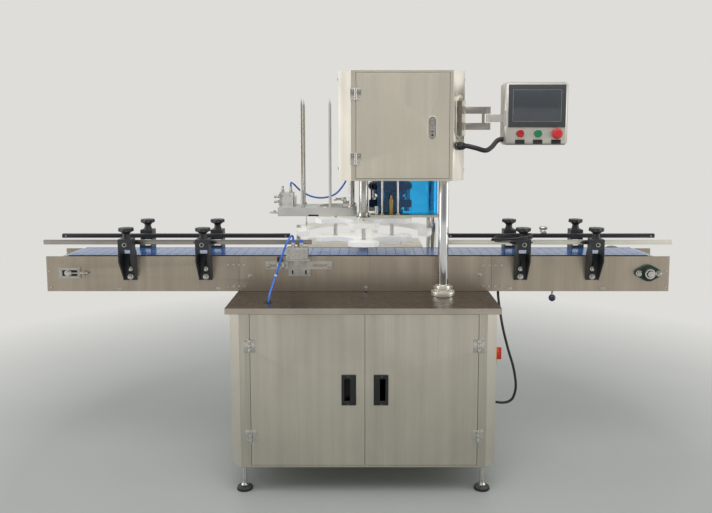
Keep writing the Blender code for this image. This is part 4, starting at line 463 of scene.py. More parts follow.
DOOR_STEEL = Finish("door_steel", tone(221, 215, 201), tone(203, 197, 184), 1.0, 0.40, 0.07, VERTICAL,
                    0.55, 3.0, 0.30)
SHELL_STEEL = Finish("shell_steel", tone(212, 207, 195), tone(196, 190, 178), 1.0, 0.36, 0.07, VERTICAL,
                     0.55, 3.0, 0.25)
TABLE_STEEL = Finish("table_steel", tone(142, 133, 124), tone(118, 110, 102), 1.0, 0.22, 0.06, ALONG, 0.4,
                     6.0, 0.40, 0.10)
PANEL_STEEL = Finish("panel_steel", tone(192, 181, 165), tone(174, 163, 149), 1.0, 0.38, 0.07, VERTICAL,
                     0.5, 3.5, 0.28)
HEAD_STEEL = Finish("head_steel", tone(232, 226, 212), tone(214, 208, 194), 1.0, 0.36, 0.07, VERTICAL, 0.5,
                    3.0, 0.22)
# Painted shade: a darker copy of the head's steel for the housing's chamfer and side faces.
SIDES_PAINTED_SHADE_STEEL = Finish("sides_painted_shade_steel", tone(184, 180, 171), tone(172, 168, 158), 1.0, 0.36, 0.07,
                       VERTICAL, 0.5, 3.0, 0.22)
# Painted light: a lighter copy of the table's steel for the faces of its lip, against the darker top.
LIP_PAINTED_LIGHT_STEEL = Finish("lip_painted_light_steel", tone(204, 194, 181), tone(186, 176, 164), 1.0, 0.34, 0.07, ALONG, 0.4, 6.0,
                   0.30)
BASE_STEEL = Finish("base_steel", tone(240, 236, 226), tone(222, 218, 208), 0.75, 0.30, 0.06, EVEN, 0.0,
                    20.0, 0.3)
# Painted light: a paler copy of the rail steel, for the front right rail's bar only.
RAIL_PAINTED_LIGHT_STEEL = Finish("rail_painted_light_steel", tone(240, 238, 226), tone(224, 221, 208), 0.7, 0.34, 0.06, ALONG, 0.2,
                    9.0, 0.3)
HEAD_DOOR_STEEL = Finish("head_door_steel", tone(240, 233, 218), tone(220, 213, 198), 1.0, 0.36, 0.08,
                         VERTICAL, 0.6, 3.0, 0.25)
BRIGHT_STEEL = Finish("bright_steel", tone(214, 212, 207), tone(190, 188, 183), 1.0, 0.20, 0.06, EVEN, 0.0,
                      20.0, 0.3)
CHROME = Finish("chrome", tone(226, 227, 228), tone(208, 209, 211), 1.0, 0.10, 0.03, VERTICAL, 0.2, 12.0,
                0.25, 0.05, 900.0, 0.03)
ALUMINIUM = Finish("aluminium", tone(206, 204, 198), tone(184, 182, 176), 0.9, 0.34, 0.08, EVEN, 0.0, 16.0,
                   0.3)
RAIL_STEEL = Finish("rail_steel", tone(176, 172, 166), tone(156, 152, 146), 1.0, 0.32, 0.07, ALONG, 0.2,
                    9.0, 0.3)
STRIP_BLACK = Finish("strip_black", tone(28, 28, 29), tone(38, 38, 40), 0.0, 0.42, 0.08, ALONG, 0.2, 9.0,
                     0.3)
BRACKET_BLACK = Finish("bracket_black", tone(38, 41, 44), tone(52, 55, 58), 0.0, 0.46, 0.08, EVEN, 0.0,
                       26.0, 0.35, 0.10, 700.0, 0.16)
KNOB_BLACK = Finish("knob_black", tone(30, 31, 33), tone(46, 47, 49), 0.0, 0.38, 0.08, EVEN, 0.0, 30.0,
                    0.3, 0.12, 800.0, 0.12)
PULL_BLACK = Finish("pull_black", tone(20, 21, 23), tone(32, 34, 36), 0.0, 0.34, 0.07, EVEN, 0.0, 30.0, 0.3)
# Black of the real joints between panels, and painted shade in pulls, holes, slots, a notch and a keyhole.
JOINT_AND_SHADE_BLACK = Finish("joint_and_painted_shade_black", tone(9, 9, 10), tone(16, 16, 17), 0.0, 0.7, 0.08, EVEN, 0.0, 30.0, 0.2,
                    0.0)
BELT_BLUE = Finish("belt_blue", tone(14, 84, 154), tone(24, 104, 178), 0.0, 0.20, 0.06, (40.0, 90.0, 90.0),
                   0.3, 12.0, 0.35, 0.05, 700.0, 0.05, 0.35)
# Painted shade: near black for the shadowed gap between the panels and the belt's slats.
BELT_GAP_SHADE = Finish("belt_gap_painted_shade", tone(9, 14, 30), tone(13, 20, 40), 0.0, 0.42, 0.08, EVEN, 0.0, 12.0, 0.3)
# Painted light: this white glows at strength 0.26 to lift the shade of the star wheel and its guide under
# the head box.
STAR_WHITE_PAINTED_GLOW = Finish("star_white_painted_glow", tone(244, 243, 238), tone(232, 231, 226), 0.0, 0.34, 0.08, EVEN, 0.2,
                    10.0, 0.16, 0.04, 500.0, 0.05, 0.0, 0.26)
MAGAZINE_WHITE = Finish("magazine_white", tone(220, 219, 213), tone(202, 200, 194), 0.15, 0.36, 0.08, EVEN,
                        0.2, 12.0, 0.2, 0.06)
BOX_CREAM = Finish("box_cream", tone(214, 211, 202), tone(200, 197, 188), 0.55, 0.36, 0.07, EVEN, 0.3, 6.0,
                   0.18, 0.06)
SCREEN_BEZEL = Finish("screen_bezel", tone(58, 60, 63), tone(70, 72, 75), 0.0, 0.42, 0.07, EVEN, 0.0, 12.0,
                      0.3, 0.03)
SCREEN_GLASS = Finish("screen_glass", tone(58, 64, 70), tone(68, 74, 80), 0.0, 0.20, 0.05, EVEN, 0.3, 9.0,
                      0.4, 0.0, 900.0, 0.01, 0.7)
SCREEN_LINE = Finish("screen_line", tone(176, 178, 180), tone(160, 162, 164), 0.0, 0.5, 0.05)
BUTTON_RED = Finish("button_red_plastic", tone(196, 26, 34), tone(170, 20, 28), 0.0, 0.28, 0.06, EVEN, 0.0,
                    60.0, 0.3, 0.04, 700.0, 0.04, 0.4)
BUTTON_GREEN = Finish("button_green_plastic", tone(18, 138, 92), tone(14, 116, 78), 0.0, 0.28, 0.06, EVEN,
                      0.0, 60.0, 0.3, 0.04, 700.0, 0.04, 0.4)
STOP_RED = Finish("stop_red_plastic", tone(222, 52, 50), tone(204, 40, 42), 0.0, 0.36, 0.06, EVEN, 0.0,
                  60.0, 0.3, 0.04, 700.0, 0.05, 0.2)
SWITCH_RED = Finish("switch_red_plastic", tone(214, 44, 30), tone(190, 34, 24), 0.0, 0.38, 0.06)
SWITCH_YELLOW = Finish("switch_yellow_plastic", tone(232, 172, 34), tone(214, 152, 26), 0.0, 0.42, 0.06)
FLANGE_GREEN = Finish("flange_green", tone(52, 74, 66), tone(36, 52, 48), 0.35, 0.46, 0.12, EVEN, 0.2,
                      30.0, 0.5, 0.10, 500.0, 0.25)
BALL_NAVY = Finish("ball_navy", tone(34, 32, 92), tone(26, 24, 74), 0.0, 0.26, 0.06, EVEN, 0.0, 40.0, 0.3,
                   0.05, 700.0, 0.03, 0.3)
SEAMER_NAVY = Finish("seamer_navy", tone(24, 52, 96), tone(12, 26, 52), 0.75, 0.30, 0.10, EVEN, 0.3, 30.0,
                     0.45, 0.03)
SEAMER_DARK = Finish("seamer_dark", tone(40, 44, 54), tone(24, 27, 34), 0.85, 0.34, 0.10, EVEN, 0.3, 30.0,
                     0.45, 0.03)
MOTOR_GREY = Finish("motor_grey", tone(120, 124, 128), tone(100, 104, 108), 0.3, 0.48, 0.10, EVEN, 0.2,
                    16.0, 0.4)
CABLE_BLACK = Finish("cable_black", tone(26, 26, 28), tone(38, 38, 41), 0.0, 0.44, 0.08, EVEN, 0.0, 40.0,
                     0.3, 0.08)
RUBBER_BLACK = Finish("rubber_black", tone(30, 30, 31), tone(42, 42, 43), 0.0, 0.66, 0.08, EVEN, 0.0, 30.0,
                      0.4, 0.2)
HOSE_BLUE = Finish("hose_blue", tone(28, 96, 206), tone(46, 118, 224), 0.0, 0.24, 0.05, EVEN, 0.0, 40.0,
                   0.25, 0.04, 900.0, 0.03, 0.3)
TIE_WHITE = Finish("tie_white", tone(236, 236, 232), tone(222, 222, 218), 0.0, 0.42, 0.05)
BRASS = Finish("brass", tone(196, 164, 98), tone(168, 138, 78), 1.0, 0.28, 0.08)
GUARD_BLUE = ClearFinish("guard_blue", tone(22, 186, 255), 0.94, 0.05, 0.10)


def about(middle: float, half: float) -> Span:
    """Limits that lie equally far on both sides of a middle."""
    return (middle - half, middle + half)


def ring(centre: Span, radius: float, count: int, z: float = 0.0, start: float = 0.0) -> list[Point]:
    """Evenly spaced places on a level circle.

    Args:
        centre: Middle of the circle.
        radius: Radius of the circle.
        count: How many places.
        z: Their height.
        start: Share of a step that the first place is turned by.

    Returns:
        The places, anticlockwise seen from above.
    """
    turns = [math.tau * (step + start) / count for step in range(count)]
    return [(centre[0] + radius * math.cos(turn), centre[1] + radius * math.sin(turn), z) for turn in turns]


def placed(name: str, data: Any) -> bpy.types.Object:
    """Put a new object with this data into the scene."""
    made = bpy.data.objects.new(name, data)
    bpy.context.scene.collection.objects.link(made)
    return made


def spun(profile: Sequence[Span], steps: int, closed: bool = False) -> bmesh.types.BMesh:
    """Turn a profile once round the upright axis.

    Args:
        profile: Radius and height pairs.
        steps: Segments round the axis.
        closed: Whether the last pair joins the first, as in a ring.

    Returns:
        The closed shape.
    """
    part = bmesh.new()
    line = [part.verts.new((radius, 0.0, height)) for radius, height in profile]
    for first, second in zip(line, line[1:] + line[:1] if closed else line[1:]):
        part.edges.new((first, second))
    bmesh.ops.spin(part, geom=part.verts[:] + part.edges[:], cent=(0, 0, 0), axis=(0, 0, 1),
                   dvec=(0, 0, 0), angle=math.tau, steps=steps, use_merge=True)
    bmesh.ops.remove_doubles(part, verts=part.verts, dist=WELD)
    bmesh.ops.recalc_face_normals(part, faces=part.faces)
    return part


def pointed(direction: Vector, place: Point) -> Matrix:
    """Matrix that turns the upright axis into a direction and moves it to a place."""
    return Matrix.Translation(place) @ Vector((0, 0, 1)).rotation_difference(direction).to_matrix().to_4x4()


def smooth(mesh: bpy.types.Mesh, crease: float | None = None) -> None:
    """Shade a mesh smooth, with edges above the crease angle in degrees kept sharp."""
    mesh.polygons.foreach_set("use_smooth", [True] * len(mesh.polygons))
    if crease is not None:
        mesh.set_sharp_from_angle(angle=math.radians(crease))


@dataclass
class Piece:
    """One visible piece made of operator-built shapes, closed into a mesh object."""

    name: str
    body: Body
    slot: str
    shape: bmesh.types.BMesh = field(default_factory=bmesh.new)

    def take(self, part: bmesh.types.BMesh, place: Matrix | None = None) -> None:
        """Add a finished closed shape.

        Args:
            part: Shape, used up here.
            place: Transform into the row frame.
        """
        if place is not None:
            bmesh.ops.transform(part, matrix=place, verts=part.verts)
        bmesh.ops.recalc_face_normals(part, faces=part.faces)
        mesh = bpy.data.meshes.new("part")
        part.to_mesh(mesh)
        part.free()
        self.shape.from_mesh(mesh)
        bpy.data.meshes.remove(mesh)

    def block(self, x: Span, y: Span, z: Span, edge: float = 0.0, steps: int = 2) -> None:
        """Add a box with rounded edges.

        Args:
            x: Limits along X.
            y: Limits along Y.
            z: Limits along Z.
            edge: Width of the rounding.
            steps: Segments of the rounding.
        """
        size = [high - low for low, high in (x, y, z)]
        centre = [(low + high) / 2 for low, high in (x, y, z)]
        self.brick(size, Matrix.Translation(centre), edge, steps)

    def brick(self, size: Sequence[float], place: Matrix, edge: float = 0.0, steps: int = 2) -> None:
        """Add a box that is turned and moved by a matrix.

        Args:
            size: Length, width and height.
            place: Transform of the box about its middle.
            edge: Width of the rounding.
            steps: Segments of the rounding.
        """
        part = bmesh.new()
        bmesh.ops.create_cube(part, size=1.0)
        bmesh.ops.scale(part, vec=size, verts=part.verts)
        self.round_off(part, edge, steps)
        self.take(part, place)

    def round_off(self, part: bmesh.types.BMesh, edge: float, steps: int = 2, sharp: float = 35.0) -> None:
        """Round the sharp edges of a shape.

        Args:
            part: Shape to round.
            edge: Width of the rounding.
            steps: Segments of the rounding.
            sharp: Least angle between faces that counts as sharp, in degrees.
        """
        if edge <= 0:
            return
        limit = math.radians(sharp)
        corners = [e for e in part.edges if len(e.link_faces) == 2 and e.calc_face_angle(0.0) > limit]
        bmesh.ops.bevel(part, geom=corners, offset=edge, offset_type="OFFSET", segments=steps, profile=0.5,
                        affect="EDGES", material=-1, clamp_overlap=True)

    def lathe(self, profile: Sequence[Span], place: Point, axis: Axis = Axis.UP, steps: int = 32,
              edge: float = 0.0) -> None:
        """Add a turned shape.

        Args:
            profile: Radius and height pairs; an end off the axis is closed onto it at its height.
            place: Where height 0 lies.
            axis: Direction of growing height.
            steps: Segments round the axis.
            edge: Width of the rounding of its rims.
        """
        line = list(profile)
        if line[0][0] > 0:
            line.insert(0, (0.0, line[0][1]))
        if line[-1][0] > 0:
            line.append((0.0, line[-1][1]))
        part = spun(line, steps)
        self.round_off(part, edge)
        self.take(part, pointed(Vector(axis.value), place))

    def pin(self, place: Point, axis: Axis, radius: float, length: float, steps: int = 24,
            edge: float = 0.0) -> None:
        """Add a round pin from a point along an axis."""
        self.lathe([(radius, 0), (radius, length)], place, axis, steps, edge)

    def tube(self, place: Point, axis: Axis, radii: Span, length: float, steps: int = 32,
             edge: float = 0.0) -> None:
        """Add a ring or sleeve with a bore.

        Args:
            place: Centre of its first end.
            axis: Direction of its length.
            radii: Inner and outer radius.
            length: Length along the axis.
            steps: Segments round the axis.
            edge: Width of the rounding of its rims.
        """
        corners = ((radii[0], 0), (radii[1], 0), (radii[1], length), (radii[0], length))
        part = spun(corners, steps, closed=True)
        self.round_off(part, edge)
        self.take(part, pointed(Vector(axis.value), place))

    def sheet(self, outline: Sequence[Span], place: Point, axis: Axis, thickness: float, edge: float = 0.0,
              turn: float = 0.0) -> None:
        """Add a flat sheet cut to an outline.

        Args:
            outline: Corners in the sheet's own plane.
            place: Where the outline's origin lies.
            axis: Direction that its thickness grows in.
            thickness: Thickness of the sheet.
            edge: Width of the rounding.
            turn: Turn about the axis, in degrees.
        """
        part = bmesh.new()
        face = part.faces.new([part.verts.new((across, up, 0.0)) for across, up in outline])
        grown = bmesh.ops.extrude_face_region(part, geom=[face])["geom"]
        raised = [item for item in grown if isinstance(item, bmesh.types.BMVert)]
        bmesh.ops.translate(part, vec=(0, 0, thickness), verts=raised)
        bmesh.ops.recalc_face_normals(part, faces=part.faces)
        self.round_off(part, edge)
        lean = facing(axis) @ Matrix.Rotation(math.radians(turn), 4, "Z")
        self.take(part, Matrix.Translation(place) @ lean)

    def screw(self, place: Point, axis: Axis, radius: float, kind: ScrewHead = ScrewHead.SOCKET,
              washer: bool = False) -> None:
        """Add a screw head, its recess and perhaps a washer.

        Args:
            place: Point on the surface.
            axis: Direction that the head stands in.
            radius: Head radius.
            kind: Kind of head.
            washer: Whether a washer lies under it.
        """
        lift = 0.0
        if washer:
            lift = radius * 0.22
            self.lathe([(radius * 1.55, 0), (radius * 1.55, lift)], place, axis, 20, lift * 0.3)
        tall = lift + radius * (1.0 if kind is not ScrewHead.PAN else 0.55)
        hole = radius * 0.5
        profile = [(0, 0), (radius, 0), (radius, tall), (hole, tall), (hole, tall * 0.55), (0, tall * 0.55)]
        if kind is ScrewHead.HEX:
            profile = [(0, 0), (radius, 0), (radius, tall), (0, tall)]
        self.lathe(profile, place, axis, kind.value, radius * 0.12)

    def close(self, finish: Any, replaces: Iterable[str] = (), crease: float = 38.0) -> bpy.types.Object:
        """Turn the shapes into a dressed object that rides on its body.

        Args:
            finish: Finish of the whole piece.
            replaces: Nodes of the part that it stands for.
            crease: Angle above which an edge stays sharp, in degrees.

        Returns:
            The object.
        """
        mesh = bpy.data.meshes.new(self.name)
        self.shape.to_mesh(mesh)
        self.shape.free()
        smooth(mesh, crease)
        mesh.materials.append(finish.material())
        piece = placed(self.name, mesh)
        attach(piece, self.body.value)
        nodes = list(replaces)
        if nodes:
            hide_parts(*nodes)
        LOG.info("piece %s rides on %s", self.name, self.body.value)
        return piece


def facing(axis: Axis) -> Matrix:
    """Matrix that lays a flat outline against a face, with its up direction kept upright.

    Args:
        axis: Outward direction of the face.

    Returns:
        Rotation that sends the outline's X and Y to across and up, and Z to the axis.
    """
    out = Vector(axis.value)
    up = Vector((0, 0, 1)) if abs(out.z) < 0.5 else Vector((0, 1, 0))
    across = up.cross(out)
    turn = Matrix((across, up, out)).transposed()
    return turn.to_4x4()


@dataclass
class SoftenedNode:
    """A node whose shape is kept, with rounded edges, as its own smooth piece."""

    node: str
    body: Body
    finish: Any
    edge: float = 0.0012
    steps: int = 2
    crease: float = 40.0
    # Painted light and shade: faces that look along a given direction get a lighter or darker copy of the
    # finish.
    painted_light_and_shade_faces: Sequence[tuple[Point, Finish]] = ()
    painted_face_limit: float = 0.94

    def build(self) -> bpy.types.Object:
        """Copy the node's mesh, join its corners and round its edges.

        Returns:
            The piece.
        """
        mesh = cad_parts[self.node].data.copy()
        shape = bmesh.new()
        shape.from_mesh(mesh)
        bmesh.ops.remove_doubles(shape, verts=shape.verts, dist=WELD)
        bmesh.ops.dissolve_limit(shape, angle_limit=math.radians(0.8), verts=shape.verts, edges=shape.edges)
        bmesh.ops.recalc_face_normals(shape, faces=shape.faces)
        shape.to_mesh(mesh)
        shape.free()
        smooth(mesh, self.crease)
        mesh.materials.clear()
        mesh.materials.append(self.finish.material())
        # Painted light and shade: faces turned towards each direction take its lighter or darker copy of
        # the finish.
        for index, (direction, finish) in enumerate(self.painted_light_and_shade_faces, start=1):
            mesh.materials.append(finish.material())
            for face in mesh.polygons:
                if face.normal.dot(Vector(direction)) > self.painted_face_limit:
                    face.material_index = index
        piece = placed(f"{self.node}_finished", mesh)
        if self.edge > 0:
            rounding = piece.modifiers.new("rounding", "BEVEL")
            rounding.width = self.edge
            rounding.segments = self.steps
            rounding.limit_method = "ANGLE"
            rounding.angle_limit = math.radians(self.crease)
            rounding.harden_normals = True
            rounding.use_clamp_overlap = True
        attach(piece, self.body.value)
        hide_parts(self.node)
        LOG.info("piece %s_finished rides on %s", self.node, self.body.value)
        return piece


def dress(node: str, finish: Any) -> None:
    """Give a node of the part its finish.

    Args:
        node: Node name.
        finish: Finish that it gets.
    """
    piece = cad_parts[node]
    if not piece.material_slots:
        piece.data.materials.append(finish.material())
    for slot in piece.material_slots:
        slot.material = finish.material()
    LOG.info("node %s dressed in %s", node, finish.name)


@dataclass
class Studio:
    """Pale floor, soft light and the camera that looks at the machine from the front."""

    eye: Point = (0.032, -2.914, 1.34)
    tilt: float = 84.25
    focal: float = 713.0
    width: int = 712
    height: int = 513
    principal: Span = (366.0, 203.8)
    backdrop: Colour = tone(222, 221, 217)
    floor_tone: Colour = tone(176, 180, 176)

    def build(self) -> None:
        """Make the camera, the world, the lamps and the floor."""
        self.camera()
        self.world()
        self.lamps()
        self.floor()

    def camera(self) -> None:
        """Make the scene's camera at the view's height, tilt and field."""
        data = bpy.data.cameras.new("front_camera")
        data.sensor_width = 36.0
        data.lens = self.focal / self.width * data.sensor_width
        data.shift_x = (self.width / 2 - self.principal[0]) / self.width
        data.shift_y = (self.principal[1] - self.height / 2) / self.width
        data.clip_start = 0.05
        data.clip_end = 200.0
        camera = placed("front_camera", data)
        camera.location = self.eye
        camera.rotation_euler = (math.radians(self.tilt), 0.0, 0.0)
        bpy.context.scene.camera = camera
        bpy.context.scene.view_settings.view_transform = "Standard"

    def world(self) -> None:
        """Pale surroundings: the backdrop's tone where seen or reflected, plain light elsewhere."""
        world = bpy.data.worlds.new("studio_world")
        world.use_nodes = True
        bpy.context.scene.world = world
        tree = world.node_tree
        tree.nodes.clear()
        wiring = Wiring(tree)
        path = wiring.add("ShaderNodeLightPath")
        direction = wiring.add("ShaderNodeTexCoord").outputs["Generated"]
        parts = wiring.add("ShaderNodeSeparateXYZ")
        wiring.join(direction, parts.inputs[0])
        behind = wiring.spread(parts.outputs["Y"], (-0.25, -0.95), (0.0, 1.0))
        room = wiring.mix(behind, self.backdrop, tone(150, 150, 146))
        shown = wiring.maths("ADD", path.outputs["Is Camera Ray"], path.outputs["Is Transmission Ray"],
                             clamp=True)
        seen = wiring.mix(shown, room, self.backdrop)
        seen_light = wiring.add("ShaderNodeBackground")
        wiring.join(seen, seen_light.inputs["Color"])
        seen_light.inputs["Strength"].default_value = 1.0
        plain = wiring.add("ShaderNodeBackground")
        plain.inputs["Color"].default_value = tone(236, 237, 240)
        plain.inputs["Strength"].default_value = 0.62
        clear = wiring.maths("ADD", shown, path.outputs["Is Glossy Ray"], clamp=True)
        blend = wiring.add("ShaderNodeMixShader")
        wiring.join(clear, blend.inputs[0])
        wiring.join(plain.outputs[0], blend.inputs[1])
        wiring.join(seen_light.outputs[0], blend.inputs[2])
        output = wiring.add("ShaderNodeOutputWorld")
        wiring.join(blend.outputs[0], output.inputs["Surface"])

    def lamps(self) -> None:
        """One broad ceiling lamp in front and a softer one on each side."""
        for name, place, aim, size, power in (
            ("ceiling_lamp", (0.1, -1.7, 3.3), (0.1, 0.0, 0.9), (3.2, 2.0), 46.0),
            ("left_lamp", (-3.4, -0.6, 1.5), (0.0, -0.1, 1.0), (1.6, 2.4), 26.0),
            ("right_lamp", (3.4, -0.6, 1.5), (0.0, -0.1, 1.0), (1.6, 2.4), 24.0),
        ):
            data = bpy.data.lights.new(name, "AREA")
            data.shape = "RECTANGLE"
            data.size = size[0]
            data.size_y = size[1]
            data.energy = power
            lamp = placed(name, data)
            lamp.location = place
            lamp.rotation_euler = (Vector(aim) - Vector(place)).to_track_quat("-Z", "Y").to_euler()

    def floor(self) -> None:
        """A wide pale floor that fades into the backdrop's tone with distance."""
        shape = bmesh.new()
        bmesh.ops.create_circle(shape, cap_ends=True, segments=96, radius=60.0)
        mesh = bpy.data.meshes.new("studio_floor")
        shape.to_mesh(mesh)
        shape.free()
        made, wiring, shader, place = open_material("studio_floor")
        mottle = wiring.add("ShaderNodeTexNoise")
        mottle.inputs["Scale"].default_value = 1.3
        mottle.inputs["Detail"].default_value = 5.0
        wiring.join(place, mottle.inputs["Vector"])
        darker = tuple(part * 0.93 for part in self.floor_tone[:3]) + (1.0,)
        wiring.join(wiring.mix(mottle.outputs["Fac"], self.floor_tone, darker), shader.inputs["Base Color"])
        wiring.join(wiring.spread(mottle.outputs["Fac"], (0.3, 0.7), (0.30, 0.42)),
                    shader.inputs["Roughness"])
        shader.inputs["Specular IOR Level"].default_value = 0.3
        distance = wiring.add("ShaderNodeVectorMath", operation="LENGTH")
        wiring.join(place, distance.inputs[0])
        fade = wiring.spread(distance.outputs["Value"], (1.35, 3.1), (0.0, 1.0))
        path = wiring.add("ShaderNodeLightPath")
        shown = wiring.maths("ADD", path.outputs["Is Camera Ray"], path.outputs["Is Glossy Ray"])
        shown = wiring.maths("ADD", shown, path.outputs["Is Transmission Ray"], clamp=True)
        far = wiring.add("ShaderNodeEmission")
        far.inputs["Color"].default_value = self.backdrop
        blend = wiring.add("ShaderNodeMixShader")
        wiring.join(wiring.maths("MULTIPLY", fade, shown), blend.inputs[0])
        wiring.join(shader.outputs[0], blend.inputs[1])
        wiring.join(far.outputs[0], blend.inputs[2])
        wiring.join(blend.outputs[0], made.node_tree.nodes["Material Output"].inputs["Surface"])
        mesh.materials.append(made)
        placed("studio_floor", mesh)


def smooth_route(points: Sequence[Point], count: int) -> list[Vector]:
    """Points evenly spaced along a Catmull-Rom curve through a route.

    Args:
        points: Route points.
        count: How many points to give back.

    Returns:
        The points, ends included.
    """
    route = [Vector(point) for point in points]
    padded = [2 * route[0] - route[1]] + route + [2 * route[-1] - route[-2]]
    dense: list[Vector] = []
    for index in range(1, len(padded) - 2):
        before, start, end, after = padded[index - 1:index + 3]
        for step in range(12):
            t = step / 12
            dense.append(0.5 * (2 * start + (end - before) * t
                                + (2 * before - 5 * start + 4 * end - after) * t * t
                                + (3 * start - before - 3 * end + after) * t ** 3))
    dense.append(route[-1])
    lengths = [0.0]
    for first, second in zip(dense, dense[1:]):
        lengths.append(lengths[-1] + (second - first).length)
    even: list[Vector] = []
    index = 0
    for step in range(count):
        target = lengths[-1] * step / (count - 1)
        while index < len(dense) - 2 and lengths[index + 1] < target:
            index += 1
        span = max(lengths[index + 1] - lengths[index], 1e-9)
        even.append(dense[index].lerp(dense[index + 1],
                                      min(max((target - lengths[index]) / span, 0.0), 1.0)))
    return even


def round_line(name: str, places: Sequence[Vector], radius: float, finish: Finish, rounding: int,
               steps: int) -> bpy.types.Object:
    """Make one curve with round section through places.

    Args:
        name: Name of the object.
        places: Places along the line.
        radius: Radius of the section.
        finish: Finish that it gets.
        rounding: Resolution of the section.
        steps: Segments between two places.

    Returns:
        The curve object.
    """
    data = bpy.data.curves.new(name, "CURVE")
    data.dimensions = "3D"
    data.bevel_depth = radius
    data.bevel_resolution = rounding
    data.resolution_u = steps
    data.use_fill_caps = True
    spline = data.splines.new("BEZIER")
    spline.bezier_points.add(len(places) - 1)
    for point, place in zip(spline.bezier_points, places):
        point.co = place
        point.handle_left_type = "AUTO"
        point.handle_right_type = "AUTO"
    data.materials.append(finish.material())
    return placed(name, data)


@dataclass
class FreeCord:
    """A cord along a route, as one curve with round section."""

    name: str
    route: Sequence[Point]
    radius: float
    finish: Finish
    body: Body
    replaced: tuple[str, ...] = ()
    points: int = 30
    stiffness: str = "medium"
    lay: str = "hanging"
    far_end: str = "object"
    bend: tuple[Body, Body, Point, Point] | None = None

    def build(self, with_pieces: Sequence[Any] = ()) -> bpy.types.Object:
        """Args:
            with_pieces: Pieces that sit on the cord; not used.

        Returns:
            The curve object.
        """
        places = smooth_route(self.route, self.points)
        piece = round_line(self.name, places, self.radius, self.finish, 4, 6)
        if self.bend:
            piece = self.as_tube(piece)
            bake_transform(piece)
        else:
            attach(piece, self.body.value)
        if self.replaced:
            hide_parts(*self.replaced)
        return piece

    def as_tube(self, line: bpy.types.Object) -> bpy.types.Object:
        """Turn the line into a mesh tube whose caps are joined on.

        Args:
            line: Curve object of the cord.

        Returns:
            The mesh object that takes its place.
        """
        mesh = bpy.data.meshes.new_from_object(line.evaluated_get(bpy.context.evaluated_depsgraph_get()))
        bpy.data.objects.remove(line, do_unlink=True)
        shape = bmesh.new()
        shape.from_mesh(mesh)
        bmesh.ops.remove_doubles(shape, verts=shape.verts, dist=WELD)
        bmesh.ops.recalc_face_normals(shape, faces=shape.faces)
        shape.to_mesh(mesh)
        shape.free()
        smooth(mesh)
        return placed(self.name, mesh)


@dataclass
class Cords:
    """The machine's free cords: control cable, air hoses and motor cable."""

    control: tuple[Point, ...] = ((0.3979, -0.2499, 1.288), (0.4091, -0.2611, 1.288),
                                  (0.438, -0.272, 1.281), (0.475, -0.266, 1.272), (0.500, -0.250, 1.284),
                                  (0.519, -0.238, 1.304), (0.532, -0.236, 1.312), (0.5446, -0.236, 1.312))
    lower_hose: tuple[Point, ...] = ((-0.2515, -0.168, 0.9240), (-0.2515, -0.168, 0.932),
                                     (-0.256, -0.182, 0.940), (-0.270, -0.204, 0.920),
                                     (-0.287, -0.220, 0.875), (-0.304, -0.234, 0.820),
                                     (-0.318, -0.257, 0.775), (-0.329, -0.290, 0.735),
                                     (-0.332, -0.300, 0.712), (-0.332, -0.300, 0.695))
    upper_hose: tuple[Point, ...] = ((-0.298, 0.2067, 1.1045), (-0.298, 0.2067, 1.112),
                                     (-0.297, 0.216, 1.119), (-0.288, 0.252, 1.108),
                                     (-0.262, 0.294, 1.076), (-0.215, 0.303, 1.050),
                                     (-0.160, 0.303, 1.044), (-0.105, 0.303, 1.062),
                                     (-0.066, 0.302, 1.108), (-0.052, 0.301, 1.145),
                                     (-0.052, 0.301, 1.1575))
    motor: tuple[Point, ...] = ((0.565, -0.080, 0.7075), (0.562, -0.110, 0.680), (0.560, -0.160, 0.640),
                                (0.566, -0.195, 0.580), (0.586, -0.200, 0.500), (0.610, -0.200, 0.420),
                                (0.620, -0.200, 0.345), (0.606, -0.200, 0.295), (0.575, -0.200, 0.281),
                                (0.545, -0.200, 0.283), (0.5267, -0.200, 0.283))

    def build(self) -> None:
        """Make every cord in turn."""
        bend = (Body.ARM, Body.BOX, (0.450, -0.270, 1.278), (0.540, -0.236, 1.312))
        FreeCord("control_cable_line", self.control, 0.009, CABLE_BLACK, Body.ARM, ("control_cable",), 24,
                 lay="loose", bend=bend).build()
        tie = Piece("hose_tie", Body.FRAME, "air_hose_lower")
        tie.tube((-0.3105, -0.2447, 0.7990), Axis.HOSE, (0.0040, 0.0054), 0.0060, 28, 0.0006)
        knot = tie.close(TIE_WHITE)
        FreeCord("lower_air_hose", self.lower_hose, 0.004, HOSE_BLUE, Body.FRAME, ("air_hose_lower",), 32,
                 stiffness="stiff").build([knot])
        FreeCord("upper_air_hose", self.upper_hose, 0.004, HOSE_BLUE, Body.FRAME, ("air_hose_upper",), 36,
                 stiffness="stiff").build()
        FreeCord("motor_supply_cable", self.motor, 0.005, CABLE_BLACK, Body.FRAME, ("motor_cable",),
                 34).build()


